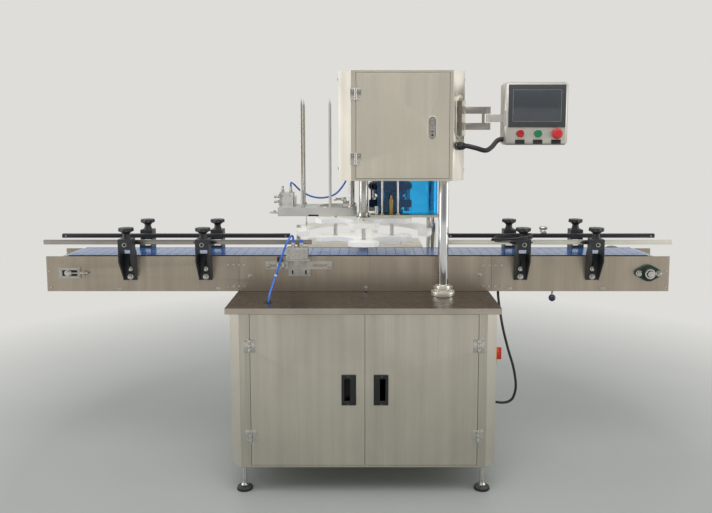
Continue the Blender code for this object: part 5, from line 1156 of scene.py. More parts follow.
@dataclass
class SensorCoil:
    """Spare sensor cable wound into a loose ring that hangs round a knob's stem."""

    centre: Point = (0.6010, -0.1791, 0.93248)
    lean_axis: Point = (-0.43541, -0.90023, 0.0)
    lean: float = 7.0
    ring_radius: float = 0.072
    bundle: float = 0.0064
    cable_radius: float = 0.0023
    turns: float = 4.4
    wobble: float = 0.0008
    wobble_rate: float = 2.3
    points_per_turn: int = 18
    strands: int = 5

    def build(self) -> None:
        lean = Matrix.Rotation(math.radians(self.lean), 4, Vector(self.lean_axis))
        move = Matrix.Translation(self.centre) @ lean
        count = int(self.turns * self.points_per_turn)
        places = []
        for step in range(count + 1):
            turn = math.tau * step / self.points_per_turn
            section = turn / self.strands
            radius = self.ring_radius + self.bundle * math.cos(section)
            wave = self.wobble * math.sin(self.wobble_rate * turn)
            places.append(move @ Vector((radius * math.cos(turn), radius * math.sin(turn),
                                         self.bundle * math.sin(section) + wave)))
        coil = round_line("sensor_cable_coil", places, self.cable_radius, CABLE_BLACK, 3, 5)
        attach(coil, Body.FRAME.value)
        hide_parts("sensor_cable")
        along = (places[-1] - places[-2]).normalized()
        plug = Piece("sensor_connector", Body.FRAME, "sensor_cable")
        profile = ((0, -0.004), (0.003, -0.004), (0.0042, 0.002), (0.0042, 0.012), (0.0050, 0.013),
                   (0.0050, 0.022), (0, 0.022))
        plug.take(spun(profile, 20), pointed(along, places[-1]))
        connector = plug.close(KNOB_BLACK)


def hinge_leaf(piece: Piece, x: Span, screw: Span, face_y: float, z: Span) -> None:
    """Add one leaf of a hinge with its two screws.

    Args:
        piece: Piece that it goes into.
        x: Limits of the leaf along X.
        screw: Place of the screws along X, and their radius.
        face_y: Face that the leaf lies on.
        z: Middle and half height of the leaf.
    """
    piece.block(x, (face_y - LEAF_FRONT, face_y - LEAF_BACK), about(*z), 0.0006)
    for lift in (-0.6, 0.6):
        piece.screw((screw[0], face_y - LEAF_FRONT, z[0] + lift * z[1]), Axis.FRONT, screw[1],
                    ScrewHead.PAN)


def hinge_barrels(piece: Piece, axis: Span, z: float, height: float) -> None:
    """Add the three knuckles of a hinge.

    Args:
        piece: Piece that they go into.
        axis: Place of the hinge's pin.
        z: Middle of the hinge.
        height: Height of the hinge.
    """
    for third in range(3):
        low = z - height / 2 + height * third / 3 + BARREL_GAP / 2
        piece.pin((axis[0], axis[1], low), Axis.UP, BARREL_RADIUS, height / 3 - BARREL_GAP, 24, 0.0005)


@dataclass
class Cabinet:
    """Cabinet under the table: shell, doors, hinges, pulls, feet, switch and cable entries."""

    face_y: float = -0.385
    door_axis_x: Span = (-0.392, 0.443)
    hinge_z: Span = (0.225, 0.565)
    hinge_height: float = 0.049
    hinge_axis_y: float = -0.3903
    leaf_width: float = 0.0205
    foot_x: Span = (-0.425, 0.469)
    foot_y: Span = (-0.340, 0.340)
    pull_x: Span = (-0.031, 0.087)
    pull_z: float = 0.400
    switch_place: Point = (0.5173, -0.310, 0.515)
    cable_entry: Point = (0.5140, -0.200, 0.283)
    hose_hole: Point = (-0.332, -0.300, 0.7078)

    def build(self) -> None:
        """Build the cabinet's pieces."""
        SoftenedNode("cabinet_shell", Body.FRAME, SHELL_STEEL, 0.0014).build()
        # Painted light and shade: the lip faces of the table top get a lighter copy of its steel than the
        # top.
        lit_lip_faces = [(axis.value, LIP_PAINTED_LIGHT_STEEL) for axis in (Axis.FRONT, Axis.LEFT, Axis.RIGHT, Axis.BACK)]
        SoftenedNode("table_top", Body.FRAME, TABLE_STEEL, 0.0022, 3, painted_light_and_shade_faces=lit_lip_faces).build()
        SoftenedNode("door_left", Body.DOOR_LEFT, DOOR_STEEL, 0.0012).build()
        SoftenedNode("door_right", Body.DOOR_RIGHT, DOOR_STEEL, 0.0012).build()
        SoftenedNode("pull_left", Body.DOOR_LEFT, PULL_BLACK, 0.0012).build()
        SoftenedNode("pull_right", Body.DOOR_RIGHT, PULL_BLACK, 0.0012).build()
        self.hinges()
        self.pull_details()
        self.feet()
        self.switch()
        self.entries()

    def hinges(self) -> None:
        """Bright hinge leaves with screws and barrels."""
        barrels = Piece("cabinet_hinge_barrels", Body.FRAME, "cabinet_shell")
        for axis_x, body, out in zip(self.door_axis_x, (Body.DOOR_LEFT, Body.DOOR_RIGHT), (1, -1)):
            door_leaf = Piece(f"{body.value}_hinge_leaves", body, "cabinet_shell")
            for z in self.hinge_z:
                for piece, side in ((barrels, -out), (door_leaf, out)):
                    x = sorted((axis_x + side * 0.003, axis_x + side * self.leaf_width))
                    screw = (axis_x + side * 0.0125, 0.0032)
                    hinge_leaf(piece, (x[0], x[1]), screw, self.face_y, (z, self.hinge_height / 2))
                hinge_barrels(barrels, (axis_x, self.hinge_axis_y), z, self.hinge_height)
            door_leaf.close(BRIGHT_STEEL)
        barrels.close(BRIGHT_STEEL)

    def pull_details(self) -> None:
        """Fixing screws and a dark block of painted shade in each pull's recess."""
        for x, body, side in ((self.pull_x[0], Body.DOOR_LEFT, -1), (self.pull_x[1], Body.DOOR_RIGHT, 1)):
            screws = Piece(f"{body.value}_pull_screws", body, "pull_left")
            for z in about(self.pull_z, 0.0525):
                screws.screw((x + side * 0.002, self.face_y - 0.0034, z), Axis.FRONT, 0.0026, ScrewHead.PAN)
            screws.close(MOTOR_GREY)
            # Painted shade: a black block inside the pull's recess.
            shade_fill = Piece(f"{body.value}_pull_painted_shade", body, "pull_left")
            slot_x = x + side * 0.006
            shade_fill.block(about(slot_x, 0.0098), (self.face_y + 0.0125, self.face_y + 0.0146),
                       about(self.pull_z, 0.0415), 0.0008)
            shade_fill.close(JOINT_AND_SHADE_BLACK)

    def feet(self) -> None:
        """Four levelling feet with nut, stem and pad."""
        names = iter(("foot_front_left", "foot_front_right", "foot_back_left", "foot_back_right"))
        for y in self.foot_y:
            for x in self.foot_x:
                foot = next(names)
                metal = Piece(f"{foot}_stem", Body.FRAME, foot)
                metal.lathe([(0.012, 0.010), (0.0145, 0.018), (0.009, 0.024), (0.009, 0.027)], (x, y, 0),
                            Axis.UP, 28, 0.0008)
                for thread in range(12):
                    low = 0.027 + thread * 0.0055
                    metal.lathe([(0.0074, low), (0.0081, low + 0.0022), (0.0081, low + 0.0032),
                                 (0.0074, low + 0.0055)], (x, y, 0), Axis.UP, 20)
                metal.pin((x, y, 0.0865), Axis.UP, 0.0158, 0.010, 6, 0.0012)
                metal.pin((x, y, 0.0966), Axis.UP, 0.0160, 0.0080, 28, 0.0008)
                metal.close(BRIGHT_STEEL, replaces=[foot])
                pad = Piece(f"{foot}_pad", Body.FRAME, foot)
                pad.lathe([(0.0292, 0.0), (0.0300, 0.002), (0.0285, 0.010), (0.022, 0.0135)], (x, y, 0),
                          Axis.UP, 36, 0.0008)
                pad.close(RUBBER_BLACK)

    def switch(self) -> None:
        """Yellow switch plate and red turning handle on the right side."""
        x, y, z = self.switch_place
        plate = Piece("switch_plate", Body.FRAME, "cabinet_shell")
        plate.block((x - 0.0031, x - 0.0001), about(y, 0.0304), about(z, 0.0304), 0.0012)
        plate.close(SWITCH_YELLOW)
        handle = Piece("switch_handle", Body.SWITCH, "main_switch")
        handle.lathe([(0.0228, 0), (0.0228, 0.009), (0.0205, 0.0112)], (x, y, z), Axis.RIGHT, 40, 0.0008)
        handle.block((x + 0.004, x + 0.0219), about(y, 0.0058), about(z, 0.0225), 0.0026, 3)
        handle.close(SWITCH_RED, replaces=["main_switch"])

    def entries(self) -> None:
        """Cable gland in the side and grommet in the table."""
        gland = Piece("motor_cable_gland", Body.FRAME, "cabinet_shell")
        gland.pin(self.cable_entry, Axis.RIGHT, 0.0104, 0.0045, 6, 0.0006)
        gland.lathe([(0.0092, 0.0040), (0.0092, 0.0100), (0.0062, 0.0180), (0.0052, 0.0300)],
                    self.cable_entry, Axis.RIGHT, 28, 0.0006)
        gland.close(CABLE_BLACK)
        grommet = Piece("hose_grommet", Body.FRAME, "table_top")
        grommet.tube(self.hose_hole, Axis.UP, (0.0118, 0.0172), 0.0022, 36, 0.0008)
        grommet.close(RUBBER_BLACK)
        # Painted shade: a black ring down inside the hose hole.
        shade_fill = Piece("hose_hole_painted_shade", Body.FRAME, "table_top")
        shade_fill.tube((self.hose_hole[0], self.hose_hole[1], 0.7000), Axis.UP, (0.0050, 0.0139), 0.0030, 28,
                  0.0003)
        shade_fill.close(JOINT_AND_SHADE_BLACK)


@dataclass
class Conveyor:
    """Slat conveyor: panels, joints, bolts, bearing, tensioner, motor and ball handle."""

    joint_places: Span = (-0.473, 0.531)
    shaft: Point = (1.152525, -0.1203, 0.782983)
    bolts: tuple[Span, ...] = ((-0.949, 0.719), (-0.555, 0.721), (-0.428, 0.772), (0.031, 0.720),
                               (0.483, 0.777), (0.604, 0.721), (0.974, 0.720))
    rows: tuple[tuple[Span, float], ...] = (((-0.516, -0.450), 0.816), ((-0.516, -0.450), 0.729),
                                            ((0.497, 0.570), 0.814), ((0.497, 0.570), 0.729))
    end_screws: tuple[Span, ...] = ((-1.226, 0.789), (-1.223, 0.725), (1.225, 0.790), (1.225, 0.727))

    def build(self) -> None:
        """Build the conveyor's pieces."""
        SoftenedNode("conveyor_panel_front", Body.FRAME, PANEL_STEEL, 0.0008).build()
        SoftenedNode("conveyor_panel_back", Body.FRAME, PANEL_STEEL, 0.0008).build()
        SoftenedNode("conveyor_bed", Body.FRAME, ALUMINIUM, 0.0).build()
        dress("slat_chain", BELT_BLUE)
        dress("drive_shaft", BRIGHT_STEEL)
        dress("tail_shaft", BRIGHT_STEEL)
        SoftenedNode("conveyor_motor", Body.FRAME, MOTOR_GREY, 0.002, 3).build()
        SoftenedNode("bearing_flange", Body.FRAME, FLANGE_GREEN, 0.0016, 3).build()
        self.panel_details()
        self.bearing_details()
        self.tensioner()

    def panel_details(self) -> None:
        """Joints between panel lengths, bolts, and a dark strip of painted shade along the belt's front and
        back edges.
        """
        front = CONVEYOR_FRONT_Y
        joints = Piece("panel_joints", Body.FRAME, "conveyor_panel_front")
        for x in self.joint_places:
            joints.block(about(x, 0.0005), (front - 0.0002, front + 0.0010), (0.7090, 0.8490))
            joints.block(about(x, 0.0005), (CONVEYOR_BACK_Y - 0.0010, CONVEYOR_BACK_Y + 0.0002),
                         (0.7090, 0.8490))
        joints.close(JOINT_AND_SHADE_BLACK)
        bolts = Piece("panel_bolts", Body.FRAME, "conveyor_panel_front")
        for face, axis in ((front, Axis.FRONT), (CONVEYOR_BACK_Y, Axis.BACK)):
            for x, z in self.bolts:
                bolts.screw((x, face, z), axis, 0.0058, ScrewHead.SOCKET, True)
            for limits, z in self.rows:
                for place in range(4):
                    x = limits[0] + (limits[1] - limits[0]) * place / 3
                    bolts.screw((x, face, z), axis, 0.0046)
            for x, z in self.end_screws:
                bolts.screw((x, face, z), axis, 0.0046, ScrewHead.PAN)
        bolts.close(BRIGHT_STEEL)
        ball = Piece("ball_handle", Body.FRAME, "conveyor_panel_front")
        profile = [(0, 0.7078), (0.0034, 0.7078), (0.0034, 0.6912)]
        for step in range(9):
            angle = math.radians(70 - 160 * step / 8)
            profile.append((0.0142 * math.cos(angle), 0.6803 + 0.0142 * math.sin(angle)))
        ball.lathe(profile, (0.776, CONVEYOR_FRONT_Y + 0.006, 0), Axis.UP, 40)
        ball.close(BALL_NAVY)
        # Painted shade: a dark strip on each edge of the belt stands for the shadow in the gap beside the
        # panel.
        edge = Piece("belt_edge_painted_shade", Body.FRAME, "slat_chain")
        for y in ((-0.1169, -0.1130), (0.0710, 0.0749)):
            edge.block((-1.150, 1.150), y, (0.8462, 0.8534), 0.0004)
        edge.close(BELT_GAP_SHADE)

    def bearing_details(self) -> None:
        """Bright ring, shaft end and bolts on the flange bearing."""
        x, y, z = self.shaft
        rim = Piece("bearing_ring", Body.FRAME, "bearing_flange")
        rim.tube((x, y - 0.0235, z), Axis.FRONT, (0.0139, 0.0205), 0.0036, 40, 0.0006)
        for side in (-1, 1):
            rim.screw((x + side * 0.0395, y - 0.0120, z), Axis.FRONT, 0.0082, ScrewHead.HEX, True)
        rim.close(BRIGHT_STEEL)
        end = Piece("drive_shaft_end", Body.DRIVE, "drive_shaft")
        end.lathe([(0.0124, 0), (0.0124, 0.030), (0.0035, 0.030), (0.0, 0.0275)], (x, y + 0.004, z),
                  Axis.FRONT, 32, 0.0006)
        end.close(BRIGHT_STEEL)

    def tensioner(self) -> None:
        """Slotted tension plate at the infeed end with its block and adjusting screw."""
        x, z = -1.1435, 0.782983
        y = CONVEYOR_FRONT_Y - 0.0042
        frame_piece = Piece("tension_frame", Body.FRAME, "conveyor_panel_front")
        for low, high in ((z + 0.0115, z + 0.0228), (z - 0.0228, z - 0.0115)):
            frame_piece.block(about(x, 0.0413), (y - 0.0016, y + 0.0002), (low, high), 0.0005)
        for low, high in ((x - 0.0413, x - 0.0300), (x + 0.0300, x + 0.0413)):
            frame_piece.block((low, high), (y - 0.0016, y + 0.0002), about(z, 0.0120), 0.0005)
        for across in (-0.0355, 0.0355):
            for up in (-0.017, 0.017):
                frame_piece.screw((x + across, y - 0.0016, z + up), Axis.FRONT, 0.0034)
        frame_piece.close(ALUMINIUM)
        # Painted shade: a thin black sheet in the tension plate's slot.
        shade_fill = Piece("tension_slot_painted_shade", Body.FRAME, "conveyor_panel_front")
        shade_fill.block(about(x, 0.0302), (y - 0.0006, y + 0.0002), about(z, 0.0117))
        shade_fill.close(JOINT_AND_SHADE_BLACK)
        block = Piece("tension_block", Body.FRAME, "conveyor_panel_front")
        block.block((x - 0.0160, x + 0.0070), (y - 0.0042, y), about(z, 0.0095), 0.0010)
        block.pin((x + 0.005, y - 0.0050, z), Axis.RIGHT, 0.0032, 0.066, 16)
        for place in (0.0425, 0.0520):
            block.pin((x + place, y - 0.0050, z), Axis.RIGHT, 0.0062, 0.0055, 6, 0.0006)
        block.pin((x + 0.066, y - 0.0050, z), Axis.RIGHT, 0.0052, 0.0070, 6, 0.0006)
        block.close(BRIGHT_STEEL)


@dataclass
class GuideRails:
    """Four guide rails in their eight brackets, with lobed knobs."""

    rail_z: float = 0.905
    half_height: float = 0.0093
    spans: tuple[tuple[str, Body, Span, Span, Span], ...] = (("front_left", Body.RAIL_FRONT_LEFT,
                                                              (-1.248, -0.184), (-0.1142, -0.1060),
                                                              (-0.0975, -0.0970)), ("front_right",
            Body.RAIL_FRONT_RIGHT, (0.354, 1.248), (-0.1142, -0.1060), (-0.0975, -0.0970)),
                                                             ("back_left", Body.RAIL_BACK_LEFT,
                                                              (-1.248, -0.288), (0.0640, 0.0722),
                                                              (0.0550, 0.0555)), ("back_right",
            Body.RAIL_BACK_RIGHT, (0.370, 1.248), (0.0640, 0.0722), (0.0550, 0.0555)))
    knob_radius: float = 0.0302
    knob_top: float = 0.9692
    lobes: int = 8

    def build(self) -> None:
        """Build rails, brackets and knobs."""
        for name, body, x, steel_y, strip_y in self.spans:
            SoftenedNode(f"guide_rail_{name}", body, STRIP_BLACK, 0.0008).build()
            bar = Piece(f"rail_bar_{name}", body, f"guide_rail_{name}")
            bar.block(x, steel_y, (self.rail_z - self.half_height, self.rail_z + self.half_height), 0.0012)
            # Painted light: the front right bar gets a paler copy of the same rail steel than the other
            # three.
            bar.close(RAIL_PAINTED_LIGHT_STEEL if body is Body.RAIL_FRONT_RIGHT else RAIL_STEEL)
            screws = Piece(f"rail_screws_{name}", body, f"guide_rail_{name}")
            for place in (x[0] + 0.018, x[1] - 0.018):
                axis = Axis.FRONT if "back" in name else Axis.BACK
                y = strip_y[0] + 0.0002 if "back" in name else strip_y[1] - 0.0002
                screws.lathe([(0.0034, 0), (0.0026, 0.0012), (0, 0.0014)], (place, y, self.rail_z), axis,
                             16)
            screws.close(BRIGHT_STEEL)
        self.sensor()
        for row, face, out in (("front", CONVEYOR_FRONT_Y, -1), ("back", CONVEYOR_BACK_Y, 1)):
            for number, x in enumerate(BRACKET_PLACES, start=1):
                self.bracket(f"rail_bracket_{row}_{number}", x, face + out * 0.0003, out)

    def sensor(self) -> None:
        """Small bright sensor clamped on the back rail of the discharge side."""
        x, y, top = 0.782, 0.0681, self.rail_z + self.half_height
        clamp = Piece("rail_sensor_clamp", Body.RAIL_BACK_RIGHT, "guide_rail_back_right")
        clamp.block(about(x, 0.0110), (y - 0.0060, y + 0.0080), (top - 0.0004, top + 0.0080), 0.0012)
        clamp.block((x - 0.0150, x - 0.0095), (y - 0.0040, y + 0.0060), (top + 0.0060, top + 0.0300),
                    0.0010)
        clamp.screw((x + 0.0050, y + 0.0010, top + 0.0080), Axis.UP, 0.0040)
        clamp.tube((x - 0.0160, y + 0.0010, top + 0.0220), Axis.RIGHT, (0.0050, 0.0080), 0.0260, 32, 0.0008)
        clamp.close(BRIGHT_STEEL)
        eye = Piece("rail_sensor_eye", Body.RAIL_BACK_RIGHT, "guide_rail_back_right")
        eye.pin((x - 0.0180, y + 0.0010, top + 0.0220), Axis.RIGHT, 0.0050, 0.0320, 24, 0.0008)
        eye.close(KNOB_BLACK)

    def bracket(self, node: str, x: float, face: float, out: int) -> None:
        """One bracket: softened body, knob, bolts in the channel and a rod end.

        Args:
            node: Bracket's node.
            x: Place along the conveyor.
            face: Panel face that it stands on.
            out: Outward direction along Y.
        """
        SoftenedNode(node, Body.FRAME, BRACKET_BLACK, 0.0016, 3).build()
        axis = Axis.FRONT if out < 0 else Axis.BACK
        y = face + out * 0.040
        knob = Piece(f"{node}_knob", Body.FRAME, node)
        outline = []
        for step in range(self.lobes * 8):
            turn = math.tau * step / (self.lobes * 8)
            radius = self.knob_radius * (0.94 + 0.06 * math.cos(self.lobes * turn))
            outline.append((radius * math.cos(turn), radius * math.sin(turn)))
        knob.sheet(outline, (x, y, self.knob_top - 0.0135), Axis.UP, 0.0135, 0.0024)
        knob.lathe([(0.0170, 0.9258), (0.0155, 0.9330), (0.0133, 0.9400), (0.0133, 0.9460),
                    (0.0240, 0.9562)], (x, y, 0), Axis.UP, 32)
        knob.lathe([(0.0115, self.knob_top - 0.0005), (0.0105, self.knob_top + 0.0002)], (x, y, 0),
                   Axis.UP, 28)
        knob.close(KNOB_BLACK)
        metal = Piece(f"{node}_fixings", Body.FRAME, node)
        web = face + out * 0.0050
        for z, radius in ((0.7685, 0.0075), (0.8000, 0.0062)):
            metal.screw((x, web, z), axis, radius, ScrewHead.HEX, True)
        end = face + out * 0.0662
        metal.tube((x, end - out * 0.003, self.rail_z), axis, (0.0053, 0.0088), 0.0042, 28, 0.0006)
        metal.close(BRIGHT_STEEL)
        # Painted shade: a thin black sheet fills the web's slot, standing for the shadowed inside of the
        # bracket.
        slot = Piece(f"{node}_slot", Body.FRAME, node)
        slot.block(about(x, 0.0034), tuple(sorted((web - out * 0.0002, web + out * 0.0006))),
                   (0.7780, 0.8330), 0.0002)
        slot.close(JOINT_AND_SHADE_BLACK)


@dataclass
class CanStopper:
    """Can stopper on the front panel: slotted bar, bracket, cylinder, fittings and sensors."""

    cylinder_x: Span = (-0.277, -0.194)
    cylinder_z: Span = (0.8485, 0.8915)
    cylinder_y: Span = (-0.190, -0.130)

    def build(self) -> None:
        """Build the stopper's pieces."""
        SoftenedNode("stopper_mount", Body.FRAME, ALUMINIUM, 0.0008).build()
        SoftenedNode("stopper_cylinder", Body.FRAME, ALUMINIUM, 0.0016, 3).build()
        dress("stopper_rod", BRIGHT_STEEL)
        self.fittings()
        self.fixings()
        self.sensors()

    def fittings(self) -> None:
        """Push-in air fittings on top of the cylinder."""
        middle = sum(self.cylinder_x) / 2
        brass = Piece("stopper_fittings", Body.FRAME, "stopper_cylinder")
        collars = Piece("stopper_fitting_collars", Body.FRAME, "stopper_cylinder")
        for offset in (-0.016, 0.016):
            place = (middle + offset, self.cylinder_y[0] + 0.022, 0.8915)
            brass.pin(place, Axis.UP, 0.0084, 0.0120, 6, 0.0008)
            brass.lathe([(0.0066, 0.012), (0.0066, 0.021)], place, Axis.UP, 24, 0.0006)
            collars.tube((place[0], place[1], place[2] + 0.021), Axis.UP, (0.0041, 0.0068), 0.0110, 24,
                         0.0012)
        brass.close(BRIGHT_STEEL)
        collars.close(HOSE_BLUE)
        end = Piece("stopper_cylinder_ends", Body.FRAME, "stopper_cylinder")
        for x in (self.cylinder_x[0] + 0.010, self.cylinder_x[1] - 0.010):
            for z in (self.cylinder_z[0] + 0.009, self.cylinder_z[1] - 0.009):
                end.screw((x, self.cylinder_y[0], z), Axis.FRONT, 0.0044)
        end.tube((middle, self.cylinder_y[0] + 0.0005, 0.870), Axis.FRONT, (0.0088, 0.0120), 0.0016, 36,
                 0.0006)
        end.close(BRIGHT_STEEL)

    def fixings(self) -> None:
        """Screws that hold the bracket to the slotted bar."""
        screws = Piece("stopper_screws", Body.FRAME, "stopper_mount")
        for x in (-0.259, -0.206):
            for z in (0.8360, 0.8220):
                screws.screw((x, -0.1303, z), Axis.FRONT, 0.0048)
        for x in (-0.354, -0.115):
            screws.screw((x, -0.1263, 0.8135), Axis.FRONT, 0.0056, ScrewHead.SOCKET, True)
        screws.close(BRIGHT_STEEL)
        # Painted shade: thin black blocks in the slots of the stopper mount.
        slot_shade = Piece("stopper_slot_painted_shade", Body.FRAME, "stopper_mount")
        for x in (-0.259, -0.206):
            slot_shade.block(about(x, 0.0030), (-0.1270, -0.1262), (0.7790, 0.7950), 0.0003)
        slot_shade.close(JOINT_AND_SHADE_BLACK)

    def sensors(self) -> None:
        """Two slim sensor holders beside the bracket."""
        holder = Piece("stopper_sensor_holders", Body.FRAME, "stopper_mount")
        for x in (-0.316, -0.296):
            holder.block(about(x, 0.0050), (-0.1345, -0.1262), (0.8000, 0.8300), 0.0012)
            for z in (0.8230, 0.8075):
                holder.screw((x, -0.1345, z), Axis.FRONT, 0.0034, ScrewHead.PAN)
        holder.close(BRIGHT_STEEL)
        loop = Piece("stopper_sensor", Body.FRAME, "stopper_mount")
        loop.block((-0.3200, -0.2990), (-0.1330, -0.1262), (0.8300, 0.8480), 0.0020)
        loop.close(KNOB_BLACK)


@dataclass
class StarStation:
    """Star wheel with its guide, transfer plate and lift."""

    wheel_top: float = 0.978
    pillar_place: float = 0.120
    post_place: float = 0.277
    post_angles: Point = (-1.0, 90.0, 181.0)

    def build(self) -> None:
        """Build the station's pieces."""
        # Painted light: the wheel and its guide glow through their finish to lift the shade under the head
        # box.
        SoftenedNode("star_wheel", Body.STAR, STAR_WHITE_PAINTED_GLOW, 0.0022, 3, 32.0).build()
        SoftenedNode("star_guide", Body.FRAME, STAR_WHITE_PAINTED_GLOW, 0.0022, 3, 32.0).build()
        SoftenedNode("transfer_plate", Body.FRAME, HEAD_STEEL, 0.0008).build()
        dress("lift_plate", BRIGHT_STEEL)
        x, y = STAR_AXIS
        metal = Piece("star_pillars", Body.STAR, "star_wheel")
        for place in ring(STAR_AXIS, self.pillar_place, 4):
            metal.lathe([(0.0105, 0.9018), (0.0105, 0.9050), (0.0078, 0.9060), (0.0078, 0.9540),
                         (0.0105, 0.9550), (0.0105, 0.9582)], place, Axis.UP, 28)
            metal.screw((place[0], place[1], self.wheel_top), Axis.UP, 0.0065)
        metal.lathe([(0.0195, 0.9815), (0.0195, UNDER_HEAD_Z)], (x, y, 0), Axis.UP, 40, 0.0005)
        metal.lathe([(0.0325, self.wheel_top), (0.0325, 0.9835), (0.0240, 0.9850), (0.0240, 0.9990)],
                    (x, y, 0), Axis.UP, 40, 0.0010)
        for place in ring(STAR_AXIS, 0.0282, 6, 0.9838):
            metal.screw(place, Axis.UP, 0.0026)
        metal.lathe([(0.0195, ON_TABLE_Z), (0.0195, 0.8738)], (x, y, 0), Axis.UP, 36, 0.0005)
        metal.close(BRIGHT_STEEL)
        posts = Piece("guide_posts", Body.FRAME, "star_guide")
        for angle in self.post_angles:
            turn = math.radians(angle)
            place = (x + self.post_place * math.cos(turn), y + self.post_place * math.sin(turn), 0.0)
            top = 0.9836 if angle < 0 else 0.9462
            posts.lathe([(0.0155, ON_TABLE_Z), (0.0155, 0.7165), (0.0098, 0.7180), (0.0098, 0.9138)],
                        place, Axis.UP, 28, 0.0005)
            posts.lathe([(0.0098, 0.9342), (0.0098, top)], place, Axis.UP, 28, 0.0008)
        posts.close(BRIGHT_STEEL)


@dataclass
class HeadBox:
    """Head box on its two columns: housing, door, latch, hinges and side screws."""

    face_y: float = -0.255
    door_axis: Span = (-0.006, -0.2603)
    hinge_z: Span = (1.240, 1.479)
    hinge_height: float = 0.044
    column_x: float = 0.331
    column_y: Span = (-0.185, 0.300)
    latch: Span = (0.278, 1.3545)
    side_screws: tuple[tuple[float, float, Axis], ...] = ((-0.072, 1.538, Axis.LEFT),
                                                          (-0.072, 1.202, Axis.LEFT),
                                                          (0.403, 1.535, Axis.RIGHT),
                                                          (0.403, 1.198, Axis.RIGHT))

    def build(self) -> None:
        """Build the head box's pieces."""
        # Painted shade: the housing's chamfer and side faces get a darker copy of its steel.
        sides = [(axis.value, SIDES_PAINTED_SHADE_STEEL) for axis in (Axis.CORNER, Axis.CORNER_LEFT, Axis.LEFT,
                                                          Axis.RIGHT)]
        SoftenedNode("head_housing", Body.FRAME, HEAD_STEEL, 0.0014, painted_light_and_shade_faces=sides).build()
        SoftenedNode("head_door", Body.HEAD_DOOR, HEAD_DOOR_STEEL, 0.0012).build()
        SoftenedNode("head_latch", Body.LATCH, BRIGHT_STEEL, 0.0012, 3).build()
        self.columns()
        self.hinges()
        self.latch_details()
        screws = Piece("head_side_screws", Body.FRAME, "head_housing")
        for x, z, axis in self.side_screws:
            for y in (-0.190, 0.300):
                screws.screw((x, y, z), axis, 0.0052, ScrewHead.PAN)
        screws.close(MOTOR_GREY)

    def columns(self) -> None:
        """Chromed columns with bolted base flanges and split collars."""
        for name, y in zip(("column_front", "column_rear"), self.column_y):
            column = Piece(f"{name}_bar", Body.FRAME, name)
            column.lathe([(0.0202, COLUMN_FOOT_Z), (0.0202, HEAD_FLOOR_Z - 0.0003)], (self.column_x, y, 0),
                         Axis.UP, 56, 0.0006)
            column.close(CHROME, replaces=[name])
            base = Piece(f"{name}_base", Body.FRAME, name)
            base.tube((self.column_x, y, COLUMN_FOOT_Z), Axis.UP, (0.0200, 0.0460), 0.0180, 56, 0.0016)
            base.tube((self.column_x, y, 0.7262), Axis.UP, (0.0200, 0.0300), 0.0220, 48, 0.0014)
            for place in ring((self.column_x, y), 0.0378, 4, 0.7263, 0.5):
                base.screw(place, Axis.UP, 0.0062, ScrewHead.SOCKET, True)
            base.close(BASE_STEEL)
            clamp = Piece(f"{name}_clamp_screws", Body.FRAME, name)
            for side in (1, -1):
                lug = sorted((self.column_x + side * 0.0195, self.column_x + side * 0.0375))
                clamp.block((lug[0], lug[1]), about(y, 0.0090), (0.7300, 0.7470), 0.0012)
                clamp.screw((self.column_x + side * 0.0300, y - 0.0090, 0.7385), Axis.FRONT, 0.0042)
            clamp.close(BRIGHT_STEEL)

    def hinges(self) -> None:
        """Bright hinges of the head door."""
        x = self.door_axis[0]
        barrels = Piece("head_hinge_barrels", Body.FRAME, "head_housing")
        leaf = Piece("head_door_hinge_leaves", Body.HEAD_DOOR, "head_door")
        for z in self.hinge_z:
            span = (z, self.hinge_height / 2)
            hinge_leaf(barrels, (x - 0.0200, x - 0.0030), (x - 0.0120, 0.0030), self.face_y, span)
            hinge_leaf(leaf, (x + 0.0030, x + 0.0200), (x + 0.0120, 0.0030), self.face_y, span)
            hinge_barrels(barrels, self.door_axis, z, self.hinge_height)
        barrels.close(BRIGHT_STEEL)
        leaf.close(BRIGHT_STEEL)

    def latch_details(self) -> None:
        """Keyhole, finger dish and rim line on the latch lever."""
        x, z = self.latch
        lock = Piece("latch_lock", Body.LATCH, "head_latch")
        y = self.face_y - 0.0020
        lock.tube((x, y + 0.0004, z - 0.026), Axis.FRONT, (0.0040, 0.0058), 0.0016, 28, 0.0004)
        lock.tube((x, y + 0.0004, z + 0.019), Axis.FRONT, (0.0092, 0.0110), 0.0012, 36, 0.0004)
        lock.close(MOTOR_GREY)
        # Painted shade: a black disc and bar stand for the shade inside the keyhole.
        key = Piece("latch_keyhole_painted_shade", Body.LATCH, "head_latch")
        key.pin((x, y + 0.0002, z - 0.026), Axis.FRONT, 0.0034, 0.0008, 20)
        key.block(about(x, 0.0052), (y - 0.0006, y + 0.0002), (z - 0.0148, z - 0.0118), 0.0003)
        key.close(JOINT_AND_SHADE_BLACK)


